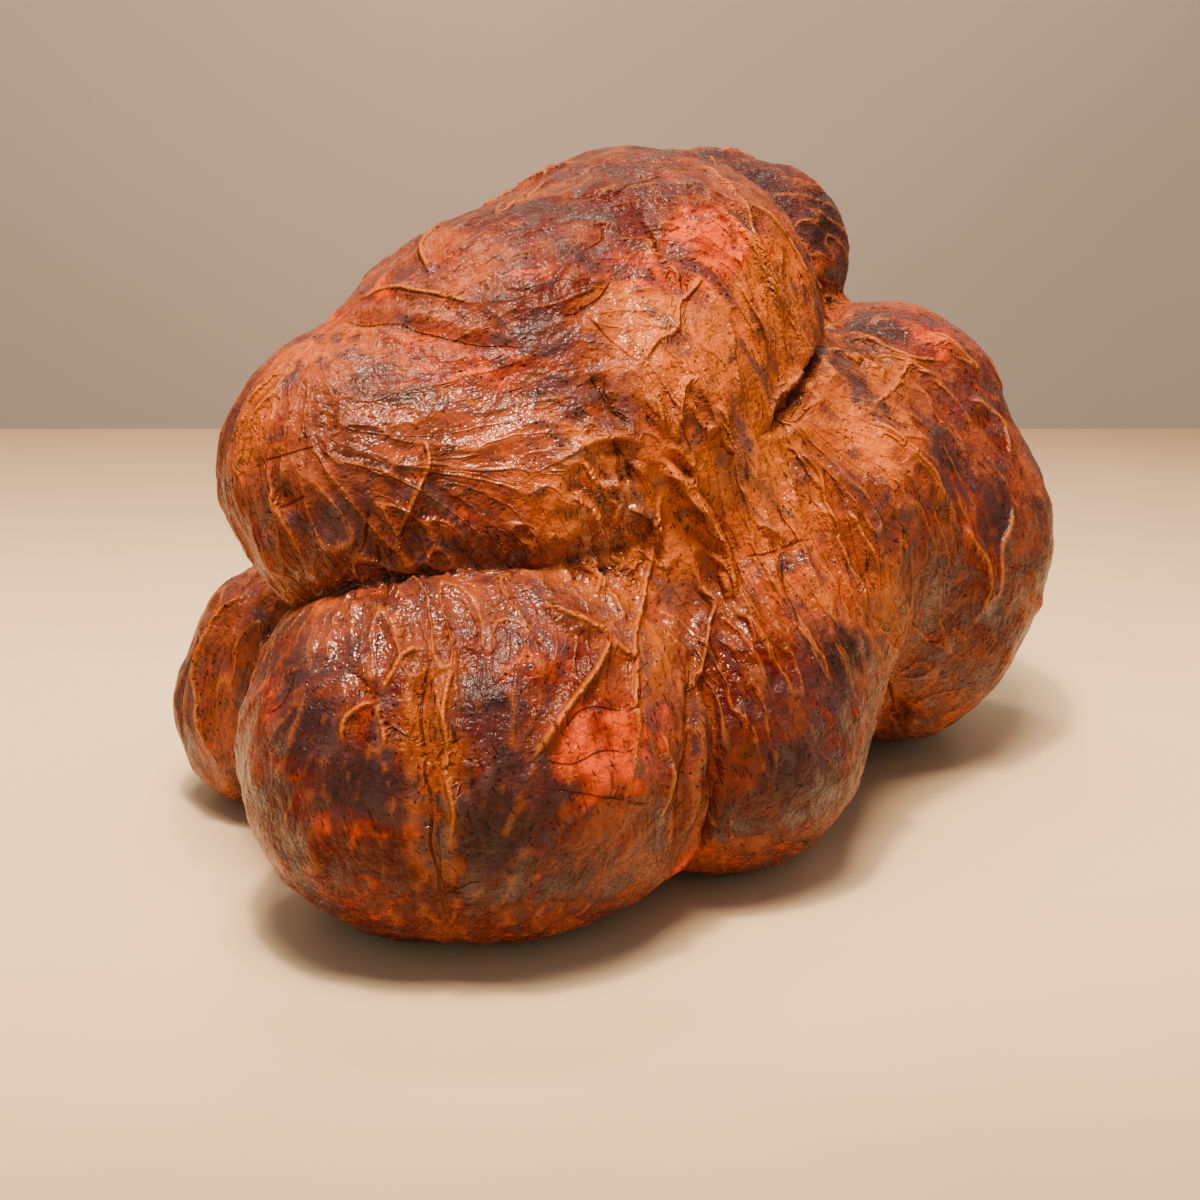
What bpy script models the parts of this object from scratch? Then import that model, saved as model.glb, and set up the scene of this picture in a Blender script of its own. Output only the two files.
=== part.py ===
"""Morcon: a whole cured sausage in a pig's blind-gut casing, lying on its side.

The filling swells the casing between its folds, so the body is a handful of fat lobes that run
into each other. Each lobe is a swept ball, and one smooth union of them all is the skin. A cube
cut into an even grid is blown out onto a bloated form of that skin, and then the folds are drawn
tight in stages while every corner of the grid stays on the skin.
Metres, +Z up, standing on z = 0. The origin is at the middle of the box's underside, the sausage
is longest along X, and its folded front faces -Y.
"""

import math

import bmesh
import bpy
import numpy as np

MM = 0.001
NAME = "morcon"

# Each lobe is a ball swept from one point to another while its radius changes, all in mm:
# (start, end, radius at the start, radius at the end).
LOBES = {
    # The long upper lobe, from its blunt left end to its high right one.
    "crown_left": ((-49, -24, 81), (-22, -6, 92), 25, 29),
    "crown_right": ((-22, -6, 92), (5, 17, 95.5), 29, 33.5),
    "crown_lip": ((-50, -30, 78), (-21, -28, 78), 23, 22),
    "crown_ridge": ((-30, 8, 84), (-1, 33, 87), 30, 36.5),
    # The tied end behind the upper lobe, and the lobe that hangs down from it.
    "knob": ((18, 68.5, 101.5), (31, 67, 97), 17, 17.5),
    "rear": ((25, 62, 90), (20, 56, 60), 19, 28),
    # The lower lobes, which the sausage lies on.
    "front": ((-37.5, -51, 32.5), (-23.5, -51, 32.5), 34.5, 34.5),
    "front_flank": ((-12.5, -39.5, 31.5), (-7, -32.5, 32), 32, 31),
    "heel": ((-67, 1, 28), (-71, 0.5, 18.5), 20, 20),
    "heel_back": ((-64, 4, 28), (-50, 30, 30), 21, 27),
    "middle": ((17, -24.5, 29), (21.5, -16, 36.5), 31.5, 30),
    "belly": ((-35, -5, 31), (25, 13, 31), 33, 33),
    "back": ((-20, 34, 29.5), (14, 50, 30), 31, 31),
    # The tall lobe at the right-hand end.
    "right_top": ((54, 43, 64), (58, 34.5, 43.5), 27, 31),
    "right_foot": ((58, 34.5, 43.5), (55, 29, 30.5), 31, 29.5),
    # The filling that joins the lobes in the middle.
    "core": ((1, -2, 50), (34, 15, 54), 37, 35),
    "core_back": ((-26, 12, 60), (8, 38, 58), 32, 37),
    "shoulder": ((3, 6, 74.5), (19.5, 10, 62.5), 33, 31),
    "saddle": ((-2, -13, 84), (4, -11, 62), 26, 26),
}
HEART = (-1, -5, 52)  # a point well inside, from which the cube is blown out, mm

# How widely two lobes run into each other, mm: a deep fold is narrow, a swelling is wide.
TABLE_EDGE = 1
DEEP_FOLD = 2
FOLD = 4
SOFT_FOLD = 6
SWELLING = 10
WIDE_SWELLING = 14

# The extra width of every fold while they are drawn tight, mm, from bloated to true.
SLACK_STAGES = (40, 30, 22, 16, 11, 7, 4, 2, 1, 0, 0, 0, 0, 0, 0, 0)
ROUNDS_PER_STAGE = 3
SPREAD_SHARE = 0.5  # share of the way to its neighbours' middle that a corner slides in a round

# The bottom of a fold is narrower than a square of the grid, so it is rounded out at the end.
ROUNDING_ROUNDS = 6
ROUNDING_SHARE = 0.5
HOLLOW_START = 0.15  # how far a corner lies under its neighbours' middle before it is lifted, mm
HOLLOW_FULL = 0.6

GRID_CELLS = 28  # squares along each side of the cube
REACH = 150  # how far out from the heart the search for the bloated skin starts, mm
SEARCH_STEPS = 60
SEARCH_SHARE = 0.7  # share of the distance to the skin that one step goes
SLOPE_STEP = 0.25  # step for the slope of the skin's distance, mm
FLATTEST = 0.2  # the least squared slope that a step onto the skin divides by

SKIN_COLOUR = (0.42, 0.10, 0.025, 1.0)
SKIN_ROUGHNESS = 0.38


def smooth_union(first, second, width):
    """The lower of two distances, rounded with a cubic where they come within width of each other."""
    overlap = np.maximum(width - np.abs(first - second), 0) / width
    return np.minimum(first, second) - overlap**3 * width / 6


def lobe_distance(points, name):
    """Distance from each point to one swept ball, negative inside it."""
    start, end, first_radius, last_radius = LOBES[name]
    run = np.subtract(end, start)
    from_start = points - np.array(start)
    along = np.clip(from_start @ run / (run @ run), 0, 1)
    radius = first_radius + (last_radius - first_radius) * along**2 * (3 - 2 * along)
    return np.linalg.norm(from_start - along[:, None] * run, axis=1) - radius


def skin_distance(points, slack):
    """Distance from each point to the sausage's skin, negative inside it, in mm.

    Slack widens every fold by that much, so that the lobes bulge into one another.
    """

    def lobe(name):
        return lobe_distance(points, name)

    def join(first, second, width):
        return smooth_union(first, second, width + slack)

    crown = join(lobe("crown_left"), lobe("crown_right"), SWELLING)
    crown = join(crown, join(lobe("crown_ridge"), lobe("crown_lip"), FOLD), WIDE_SWELLING)

    lower = join(lobe("front"), lobe("front_flank"), WIDE_SWELLING)
    lower = join(lower, join(lobe("heel"), lobe("heel_back"), SWELLING), DEEP_FOLD)
    lower = join(lower, lobe("middle"), FOLD)
    lower = join(lower, lobe("back"), FOLD)
    lower = join(lower, lobe("belly"), SOFT_FOLD)

    right = join(lobe("right_top"), lobe("right_foot"), SWELLING)
    tied_end = join(lobe("knob"), lobe("rear"), SWELLING)
    filling = join(lobe("core"), lobe("shoulder"), SWELLING)
    filling = join(filling, join(lobe("core_back"), lobe("saddle"), SWELLING), SWELLING)

    body = join(crown, lower, DEEP_FOLD)
    body = join(body, right, FOLD)
    body = join(body, tied_end, DEEP_FOLD)
    body = join(body, filling, WIDE_SWELLING)
    above_table = points[:, 2]
    return -smooth_union(-body, above_table, TABLE_EDGE)


def skin_slope(points, slack):
    """The slope of the skin's distance at each point, by central differences. It points outwards."""
    slope = np.empty_like(points)
    for axis in range(3):
        step = np.zeros(3)
        step[axis] = SLOPE_STEP
        slope[:, axis] = skin_distance(points + step, slack) - skin_distance(points - step, slack)
    return slope / (2 * SLOPE_STEP)


def cast_on_skin(directions, slack):
    """Where each direction from the heart leaves the bloated skin, found by stepping inwards."""
    reach = np.full(len(directions), float(REACH))
    for _ in range(SEARCH_STEPS):
        reach -= SEARCH_SHARE * skin_distance(HEART + directions * reach[:, None], slack)
    return HEART + directions * reach[:, None]


def settle_on_skin(points, slack):
    """Each point moved along the slope onto the skin, with two Newton steps."""
    for _ in range(2):
        slope = skin_slope(points, slack)
        steepness = np.maximum((slope**2).sum(axis=1), FLATTEST)
        points = points - (skin_distance(points, slack) / steepness)[:, None] * slope
    return points


def skin_normal(points, slack):
    """The unit vector out of the skin at each point."""
    slope = skin_slope(points, slack)
    return slope / np.linalg.norm(slope, axis=1)[:, None]


def way_to_neighbours(points, edges):
    """From each point to the middle of the points that it shares an edge with."""
    neighbours = np.bincount(edges.ravel(), minlength=len(points))[:, None]
    total = np.zeros_like(points)
    np.add.at(total, edges[:, 0], points[edges[:, 1]])
    np.add.at(total, edges[:, 1], points[edges[:, 0]])
    return total / neighbours - points


def spread_evenly(points, edges, slack):
    """Each point slid along the skin towards the middle of its neighbours, which keeps the grid even."""
    move = way_to_neighbours(points, edges)
    normal = skin_normal(points, slack)
    move -= (move * normal).sum(axis=1)[:, None] * normal
    return settle_on_skin(points + SPREAD_SHARE * move, slack)


def round_out_folds(points, edges):
    """Each point at the bottom of a fold lifted towards the middle of its neighbours."""
    for _ in range(ROUNDING_ROUNDS):
        move = way_to_neighbours(points, edges)
        depth = (move * skin_normal(points, 0)).sum(axis=1)
        share = np.clip((depth - HOLLOW_START) / (HOLLOW_FULL - HOLLOW_START), 0, 1)
        points = points + ROUNDING_SHARE * share[:, None] * move
    return points


def gridded_cube():
    """A cube from -1 to 1 with GRID_CELLS squares along each side, as a bmesh."""
    cube = bmesh.new()
    bmesh.ops.create_cube(cube, size=2)
    bmesh.ops.subdivide_edges(cube, edges=cube.edges[:], cuts=GRID_CELLS - 1, use_grid_fill=True)
    return cube


def skin_material():
    """The cured casing: red-brown and slightly oily."""
    material = bpy.data.materials.new("cured_casing")
    material.use_nodes = True
    shader = material.node_tree.nodes["Principled BSDF"]
    shader.inputs["Base Color"].default_value = SKIN_COLOUR
    shader.inputs["Roughness"].default_value = SKIN_ROUGHNESS
    shader.inputs["Metallic"].default_value = 0.0
    return material


def make_morcon():
    """The sausage as one closed mesh object."""
    cube = gridded_cube()
    mesh = bpy.data.meshes.new(NAME)
    cube.to_mesh(mesh)
    cube.free()

    corners = np.empty(len(mesh.vertices) * 3)
    mesh.vertices.foreach_get("co", corners)
    edges = np.empty(len(mesh.edges) * 2, dtype=np.int32)
    mesh.edges.foreach_get("vertices", edges)
    edges = edges.reshape(-1, 2)
    # The tangent spaces the cube's squares evenly as seen from its middle.
    directions = np.tan(corners.reshape(-1, 3) * math.pi / 4)
    directions /= np.linalg.norm(directions, axis=1)[:, None]

    skin = cast_on_skin(directions, SLACK_STAGES[0])
    for slack in SLACK_STAGES:
        for _ in range(ROUNDS_PER_STAGE):
            skin = spread_evenly(skin, edges, slack)
    skin = round_out_folds(skin, edges)

    mesh.vertices.foreach_set("co", (skin * MM).ravel())
    mesh.update()
    mesh.shade_smooth()
    mesh.materials.append(skin_material())
    return bpy.data.objects.new(NAME, mesh)


def main():
    for old in list(bpy.data.objects):
        bpy.data.objects.remove(old)
    collection = bpy.data.collections.new(NAME)
    bpy.context.scene.collection.children.link(collection)
    collection.objects.link(make_morcon())


main()
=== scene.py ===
"""Looks of a whole morcon: a big cured sausage in a pig's blind-gut casing, fat lobes and deep folds.

The casing is one closed skin. A cube cut into an even grid is blown out onto the same smooth union
of swept balls as the filling's solid, the folds are drawn tight in stages, and then wrinkles, laps,
cracks and pleats are raised on it along routes over the skin. Stains, wetness and the lie of the
grain are kept at its points for the material.
Sizes are in millimetres up to the moment a mesh is written, which is in metres.
"""

import logging
import math
from dataclasses import dataclass, field
from enum import Enum
from itertools import product
from typing import Any, Iterator, Sequence

import bpy
import numpy as np
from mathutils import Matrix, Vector


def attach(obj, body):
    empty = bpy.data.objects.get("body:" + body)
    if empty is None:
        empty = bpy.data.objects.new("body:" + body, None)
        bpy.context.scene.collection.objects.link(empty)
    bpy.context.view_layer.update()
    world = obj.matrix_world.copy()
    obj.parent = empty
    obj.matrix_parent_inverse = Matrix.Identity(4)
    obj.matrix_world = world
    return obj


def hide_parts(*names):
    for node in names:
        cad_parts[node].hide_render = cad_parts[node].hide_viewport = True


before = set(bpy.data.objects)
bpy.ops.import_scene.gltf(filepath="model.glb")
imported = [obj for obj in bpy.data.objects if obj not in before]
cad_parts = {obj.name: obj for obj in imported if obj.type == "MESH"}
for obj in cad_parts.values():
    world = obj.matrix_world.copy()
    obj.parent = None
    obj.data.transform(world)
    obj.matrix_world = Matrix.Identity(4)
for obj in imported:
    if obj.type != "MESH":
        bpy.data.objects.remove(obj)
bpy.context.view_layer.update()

LOG = logging.getLogger("morcon")
MM = 0.001
NODE = "morcon"
BODY = "root"

LOOSE = "loose"  # the attribute that holds each point's place in mm, pushed about a little

# The patterns that are kept at the skin's points for the material, three to a colour attribute.
STORED: dict[str, tuple[str, str, str]] = {
    "stain": ("dark", "glow", "ochre"),
    "tone": ("red", "pale", "wet"),
    "ground": ("broad", "mottle", "streak"),
    # the finish holds the masks of the painted crease shade and glow and of the crests' painted sheen, with
    # the lie of the grain
    "finish": ("hollow", "crest_pale_and_sheen", "down_lay"),
    "line": ("line", "line_ridge", "line_crack"),
    "strand": ("broad_strand", "fine_strand", "gathered"),
}

Array = np.ndarray
Point = tuple[float, float, float]
Socket = bpy.types.NodeSocket
Masks = dict[str, Socket]
Inputs = dict[Any, Any]

BYTE = 255
NOISE_GAIN = 1.35  # brings the noise's peaks to about -1 and 1
FLATTEST = 0.2  # the least squared slope that a step onto the skin divides by


# ---- Numbers and noise ----


def linear(hex_colour: str) -> tuple[float, float, float, float]:
    """Turns an sRGB hex colour into linear light.

    Args:
        hex_colour: The colour, as "#rrggbb".

    Returns:
        Red, green and blue in linear light, and an alpha of 1.
    """
    parts = [int(hex_colour[i : i + 2], 16) / 255 for i in (1, 3, 5)]
    red, green, blue = (c / 12.92 if c <= 0.04045 else ((c + 0.055) / 1.055) ** 2.4 for c in parts)
    return red, green, blue, 1.0


def ease(share: Array) -> Array:
    """A smooth step: 3 s squared less 2 s cubed, with s held between 0 and 1."""
    held = np.clip(share, 0, 1)
    return held * held * (3 - 2 * held)


def unit(vectors: Array) -> Array:
    """Each row scaled to length 1."""
    return vectors / np.maximum(np.linalg.norm(vectors, axis=-1, keepdims=True), 1e-12)


def dot(first: Array, second: Array) -> Array:
    """The scalar product of each row with its partner."""
    return (first * second).sum(axis=-1)


def hashed(cells: Array, seed: int) -> Array:
    """Scrambles the whole-number corners of a lattice into 32-bit numbers.

    Args:
        cells: Lattice corners, n by 3 whole numbers.
        seed: Picks one of many unlike lattices.

    Returns:
        One well-mixed 32-bit number for each corner.
    """
    x, y, z = cells.astype(np.int64).astype(np.uint32).T
    mixed = x * np.uint32(0x8DA6B343) ^ y * np.uint32(0xD8163841) ^ z * np.uint32(0xCB1AB31F)
    mixed ^= np.uint32(seed * 0x9E3779B1 & 0xFFFFFFFF)
    for shift, factor in ((15, 0x2C1B3C6D), (12, 0x297A2D39), (15, 0x5BD1E995)):
        mixed ^= mixed >> np.uint32(shift)
        mixed = mixed * np.uint32(factor)
    return mixed ^ (mixed >> np.uint32(14))


def noise(points: Array, seed: int) -> Array:
    """Gradient noise with waves about one unit long.

    At each lattice corner the offset from it is multiplied by that corner's random slope, and the
    eight results are blended with the quintic 6 f^5 - 15 f^4 + 10 f^3.

    Args:
        points: Places to read, n by 3, already divided by the wave length.
        seed: Picks the field.

    Returns:
        Values between about -1 and 1.
    """
    cell = np.floor(points)
    inside = points - cell
    fade = inside**3 * (inside * (inside * 6 - 15) + 10)
    total = np.zeros(len(points))
    for corner in product((0, 1), repeat=3):
        step = np.array(corner)
        bits = hashed(cell + step, seed)[:, None] >> np.array([0, 8, 16], np.uint32)
        slope = (bits & np.uint32(BYTE)).astype(float) * 2 / BYTE - 1
        weight = np.where(step == 1, fade, 1 - fade).prod(axis=1)
        total += weight * dot(slope, inside - step)
    return total * NOISE_GAIN


def layered(points: Array, seed: int, layers: int = 3) -> Array:
    """Noise on noise: each layer is half as high and twice as fine as the one before."""
    return sum(noise(points * 2**i, seed + i) * 0.5**i for i in range(layers))


def ridged(values: Array, rounding: float) -> Array:
    """Ridges where the values n pass nought: 1 + rounding - 2 root(n^2 + rounding^2), squared."""
    away = np.sqrt(values**2 + rounding**2)
    return np.clip(1 + rounding - 2 * away, 0, 1) ** 2


def creased(points: Array, seed: int, rounding: float = 0.1) -> Array:
    """Ridges where the noise passes through nought."""
    return ridged(noise(points, seed), rounding)


def swirled(points: Array, wave: float, reach: float, seed: int) -> Array:
    """The points pushed about by a noise of that wave length, by up to about that reach."""
    push = np.stack([noise(points / wave, seed + i) for i in range(3)], axis=1)
    return points + reach * push


# ---- The form of the filled casing ----


@dataclass(frozen=True)
class Reading:
    """The distance from some points to a shape, negative inside, and the slope of that distance."""

    distance: Array
    slope: Array

    def joined(self, other: "Reading", width: float) -> "Reading":
        """Runs two shapes into each other.

        The distance is the lower one, less overlap cubed times width / 6, where overlap falls from
        1 to 0 as the two distances draw apart by the width. The farther one's share of the slope is
        half the overlap squared.

        Args:
            other: The other shape, read at the same points.
            width: How far apart the two distances still blend.

        Returns:
            The reading of both together.
        """
        gap = self.distance - other.distance
        overlap = np.maximum(width - np.abs(gap), 0) / width
        lower = np.minimum(self.distance, other.distance) - overlap**3 * width / 6
        share = overlap**2 / 2
        mine = np.where(gap < 0, 1 - share, share)[:, None]
        return Reading(lower, mine * self.slope + (1 - mine) * other.slope)

    def turned(self) -> "Reading":
        """The same shape with inside and outside changed over."""
        return Reading(-self.distance, -self.slope)


@dataclass(frozen=True)
class Lobe:
    """A fat lobe: a ball swept from one point to another while its radius changes, in mm."""

    start: Point
    end: Point
    first_radius: float
    last_radius: float

    def read(self, points: Array) -> Reading:
        """Reads the lobe: the distance to its axis less the radius there.

        The radius runs from the first to the last with the smooth step h^2 (3 - 2h) of the share h
        along the axis.

        Args:
            points: Places to read, n by 3, in mm.

        Returns:
            Distance and slope at each.
        """
        run = np.subtract(self.end, self.start)
        from_start = points - np.array(self.start)
        raw = from_start @ run / (run @ run)
        along = np.clip(raw, 0, 1)
        growth = self.last_radius - self.first_radius
        away = from_start - along[:, None] * run
        length = np.linalg.norm(away, axis=1)
        swell = np.where(along == raw, growth * 6 * along * (1 - along), 0)
        slope = away / np.maximum(length, 1e-9)[:, None] - (swell / (run @ run))[:, None] * run
        return Reading(length - self.first_radius - growth * ease(along), slope)


LOBES: dict[str, Lobe] = {
    "crown_left": Lobe((-49, -24, 81), (-22, -6, 92), 25, 29),
    "crown_right": Lobe((-22, -6, 92), (5, 17, 95.5), 29, 33.5),
    "crown_lip": Lobe((-50, -30, 78), (-21, -28, 78), 23, 22),
    "crown_ridge": Lobe((-30, 8, 84), (-1, 33, 87), 30, 36.5),
    "knob": Lobe((18, 68.5, 101.5), (31, 67, 97), 17, 17.5),
    "rear": Lobe((25, 62, 90), (20, 56, 60), 19, 28),
    "front": Lobe((-37.5, -51, 32.5), (-23.5, -51, 32.5), 34.5, 34.5),
    "front_flank": Lobe((-12.5, -39.5, 31.5), (-7, -32.5, 32), 32, 31),
    "heel": Lobe((-67, 1, 28), (-71, 0.5, 18.5), 20, 20),
    "heel_back": Lobe((-64, 4, 28), (-50, 30, 30), 21, 27),
    "middle": Lobe((17, -24.5, 29), (21.5, -16, 36.5), 31.5, 30),
    "belly": Lobe((-35, -5, 31), (25, 13, 31), 33, 33),
    "back": Lobe((-20, 34, 29.5), (14, 50, 30), 31, 31),
    "right_top": Lobe((54, 43, 64), (58, 34.5, 43.5), 27, 31),
    "right_foot": Lobe((58, 34.5, 43.5), (55, 29, 30.5), 31, 29.5),
    "core": Lobe((1, -2, 50), (34, 15, 54), 37, 35),
    "core_back": Lobe((-26, 12, 60), (8, 38, 58), 32, 37),
    "shoulder": Lobe((3, 6, 74.5), (19.5, 10, 62.5), 33, 31),
    "saddle": Lobe((-2, -13, 84), (4, -11, 62), 26, 26),
}

# How widely two shapes run into each other, in mm.
DEEP_FOLD, FOLD, SOFT_FOLD, SWELLING, WIDE_SWELLING = 2, 4, 6, 10, 14

# The shapes that are made in turn, each of two that are there already.
JOINS: tuple[tuple[str, str, str, float], ...] = (
    # (its name, the first, the second, how widely they run together)
    ("crown", "crown_left", "crown_right", SWELLING),
    ("brow", "crown_ridge", "crown_lip", FOLD),
    ("crown", "crown", "brow", WIDE_SWELLING),
    ("front", "front", "front_flank", WIDE_SWELLING),
    ("heel", "heel", "heel_back", SWELLING),
    ("right", "right_top", "right_foot", SWELLING),
    ("tied_end", "knob", "rear", SWELLING),
    ("inner", "core_back", "saddle", SWELLING),
    ("outer", "core", "shoulder", SWELLING),
    ("filling", "outer", "inner", SWELLING),
    ("lower", "front", "heel", DEEP_FOLD),
    ("lower", "lower", "middle", FOLD),
    ("lower", "lower", "back", FOLD),
    ("lower", "lower", "belly", SOFT_FOLD),
    ("body", "crown", "lower", DEEP_FOLD),
    ("body", "body", "right", FOLD),
    ("body", "body", "tied_end", DEEP_FOLD),
    ("body", "body", "filling", WIDE_SWELLING),
)


@dataclass(frozen=True)
class FilledForm:
    """The filled casing before any wrinkle: the lobes, run into each other, on the table. In mm."""

    table_edge: float = 1
    heart: Point = (-1, -5, 52)
    outside: float = 150
    search_steps: int = 60
    search_share: float = 0.7
    crease_steps: int = 6
    crease_give: float = 1e-3

    def shapes(self, points: Array, slack: float = 0) -> dict[str, Reading]:
        """Reads every lobe, and every shape that the joins make of them.

        Args:
            points: Places to read, n by 3, in mm.
            slack: Extra width of every fold, so that the lobes bulge into one another.

        Returns:
            The reading of each by its name.
        """
        shape = {name: lobe.read(points) for name, lobe in LOBES.items()}
        for name, first, second, width in JOINS:
            shape[name] = shape[first].joined(shape[second], width + slack)
        return shape

    def read(self, points: Array, slack: float = 0) -> Reading:
        """Reads the skin of the whole form, which is cut off flat at the table.

        Args:
            points: Places to read, n by 3, in mm.
            slack: Extra width of every fold.

        Returns:
            Distance and slope at each.
        """
        upwards = np.tile((0.0, 0.0, 1.0), (len(points), 1))
        table = Reading(points[:, 2], upwards)
        body = self.shapes(points, slack)["body"]
        return body.turned().joined(table, self.table_edge).turned()

    def in_crease(self, points: Array, pair: tuple[str, str]) -> tuple[Array, Array]:
        """Moves points to the bottom of the crease between two parts, where both distances are 0.

        Each Newton step is the shortest move that would bring both distances to 0.

        Args:
            points: Points near the crease, in mm.
            pair: The two parts' names.

        Returns:
            The points in the crease, and the way out of it at each.
        """
        for _ in range(self.crease_steps):
            read = self.shapes(points)
            one, other = read[pair[0]], read[pair[1]]
            both = np.stack([one.slope, other.slope], axis=1)
            square = both @ both.transpose(0, 2, 1) + self.crease_give * np.eye(2)
            off = np.stack([one.distance, other.distance], axis=1)
            share = np.linalg.solve(square, off[:, :, None])
            points = points - (both.transpose(0, 2, 1) @ share)[:, :, 0]
        return points, unit(unit(one.slope) + unit(other.slope))

    def settled(self, points: Array, slack: float = 0, steps: int = 2) -> Array:
        """Moves points onto the skin: Newton steps of distance / |slope|^2 along the slope.

        Args:
            points: Points near the skin, in mm.
            slack: Extra width of every fold.
            steps: How many steps are taken.

        Returns:
            The points on the skin.
        """
        for _ in range(steps):
            read = self.read(points, slack)
            stride = read.distance / np.maximum(dot(read.slope, read.slope), FLATTEST)
            points = points - stride[:, None] * read.slope
        return points

    def normals(self, points: Array, slack: float = 0) -> Array:
        """The unit vector out of the skin at each point."""
        return unit(self.read(points, slack).slope)

    def cast(self, directions: Array, slack: float) -> Array:
        """Where each direction from the heart leaves the slack skin, stepping in from outside.

        Args:
            directions: Unit directions, n by 3.
            slack: Extra width of every fold.

        Returns:
            The places on the skin, in mm.
        """
        reach = np.full(len(directions), float(self.outside))
        for _ in range(self.search_steps):
            places = np.array(self.heart) + directions * reach[:, None]
            reach -= self.search_share * self.read(places, slack).distance
        return np.array(self.heart) + directions * reach[:, None]


# ---- The grid that becomes the skin ----


@dataclass
class CubeGrid:
    """The surface of a cube cut into cells by cells squares on each side, welded along its edges.

    Attributes:
        cells: Squares along each side.
        sheets: For each side, which point stands at each corner of its net.
        quads: Four points of each square, anticlockwise from outside.
        neighbours: The four points next to each point, and one of three twice at a cube's corner.
        directions: The way to each point from the cube's middle.
    """

    cells: int
    sheets: Array = field(init=False)
    quads: Array = field(init=False)
    neighbours: Array = field(init=False)
    directions: Array = field(init=False)

    def __post_init__(self) -> None:
        """Lays six nets on the cube and welds them where they meet."""
        steps = np.linspace(-1, 1, self.cells + 1)
        u, v = np.meshgrid(steps, steps, indexing="ij")
        one = np.ones_like(u)
        sides = ((one, u, v), (-one, v, u), (v, one, u), (u, -one, v), (u, v, one), (v, u, -one))
        loose = np.concatenate([np.stack(side, axis=-1).reshape(-1, 3) for side in sides])
        whole = np.rint(loose * self.cells).astype(np.int64)
        _, first, index = np.unique(whole, axis=0, return_index=True, return_inverse=True)
        self.sheets = index.reshape(6, self.cells + 1, self.cells + 1)
        # The tangent spaces the squares evenly as seen from the middle.
        self.directions = unit(np.tan(loose[first] * math.pi / 4))
        net = self.sheets
        corners = (net[:, :-1, :-1], net[:, 1:, :-1], net[:, 1:, 1:], net[:, :-1, 1:])
        self.quads = np.stack(corners, axis=-1).reshape(-1, 4)
        self._find_neighbours(len(first))

    def _find_neighbours(self, count: int) -> None:
        """Fills in the neighbours of each of that many points.

        Args:
            count: How many points the grid has.
        """
        sides = np.concatenate([self.quads[:, [i, (i + 1) % 4]] for i in range(4)])
        pairs = np.unique(np.concatenate([sides, sides[:, ::-1]]), axis=0)
        starts = np.searchsorted(pairs[:, 0], np.arange(count))
        place = np.arange(len(pairs)) - starts[pairs[:, 0]]
        self.neighbours = np.repeat(pairs[starts, 1][:, None], 4, axis=1)
        self.neighbours[pairs[:, 0], place] = pairs[:, 1]

    def refined_from(self, coarse: "CubeGrid", values: Array) -> Array:
        """Carries values from a coarser grid over to this one.

        Within each coarse square the value is the bilinear blend of those at its corners.

        Args:
            coarse: The coarser grid.
            values: One row of numbers for each of its points.

        Returns:
            One row for each point of this grid.
        """
        at = np.linspace(0, coarse.cells, self.cells + 1)
        low = np.minimum(at.astype(int), coarse.cells - 1)
        share = (at - low)[:, None]
        finer = np.empty((self.sheets.max() + 1, values.shape[1]))
        for sheet, coarse_sheet in zip(self.sheets, coarse.sheets):
            net = values[coarse_sheet]
            rows = net[low] * (1 - share)[:, None] + net[low + 1] * share[:, None]
            finer[sheet] = rows[:, low] * (1 - share) + rows[:, low + 1] * share
        return finer

    def way_to_middle(self, points: Array, pull: Array | None = None) -> Array:
        """From each point to the middle of its neighbours, each counted by its pull if it has one.

        Args:
            points: The grid's points, in mm.
            pull: How much each point counts, if not alike.

        Returns:
            The way from each point.
        """
        around = points[self.neighbours]
        if pull is None:
            return around.mean(axis=1) - points
        weight = pull[self.neighbours][:, :, None]
        return (around * weight).sum(axis=1) / weight.sum(axis=1) - points

    def smoothed(self, values: Array, rounds: int) -> Array:
        """Values at the points, each taken half way to its neighbours' mean, that many times.

        Args:
            values: One number for each point.
            rounds: How many times.

        Returns:
            The smoother values.
        """
        for _ in range(rounds):
            values = 0.5 * values + 0.5 * values[self.neighbours].mean(axis=1)
        return values

    def normals(self, points: Array) -> Array:
        """Unit normals of the grid at its points: the sum of the squares' normals around each.

        Args:
            points: The grid's points, in mm.

        Returns:
            The normals, n by 3.
        """
        corner = points[self.quads]
        face = np.cross(corner[:, 2] - corner[:, 0], corner[:, 3] - corner[:, 1])
        total = np.zeros_like(points)
        for axis, side in product(range(3), range(4)):
            weights = face[:, axis]
            total[:, axis] += np.bincount(self.quads[:, side], weights, minlength=len(points))
        return unit(total)


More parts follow.
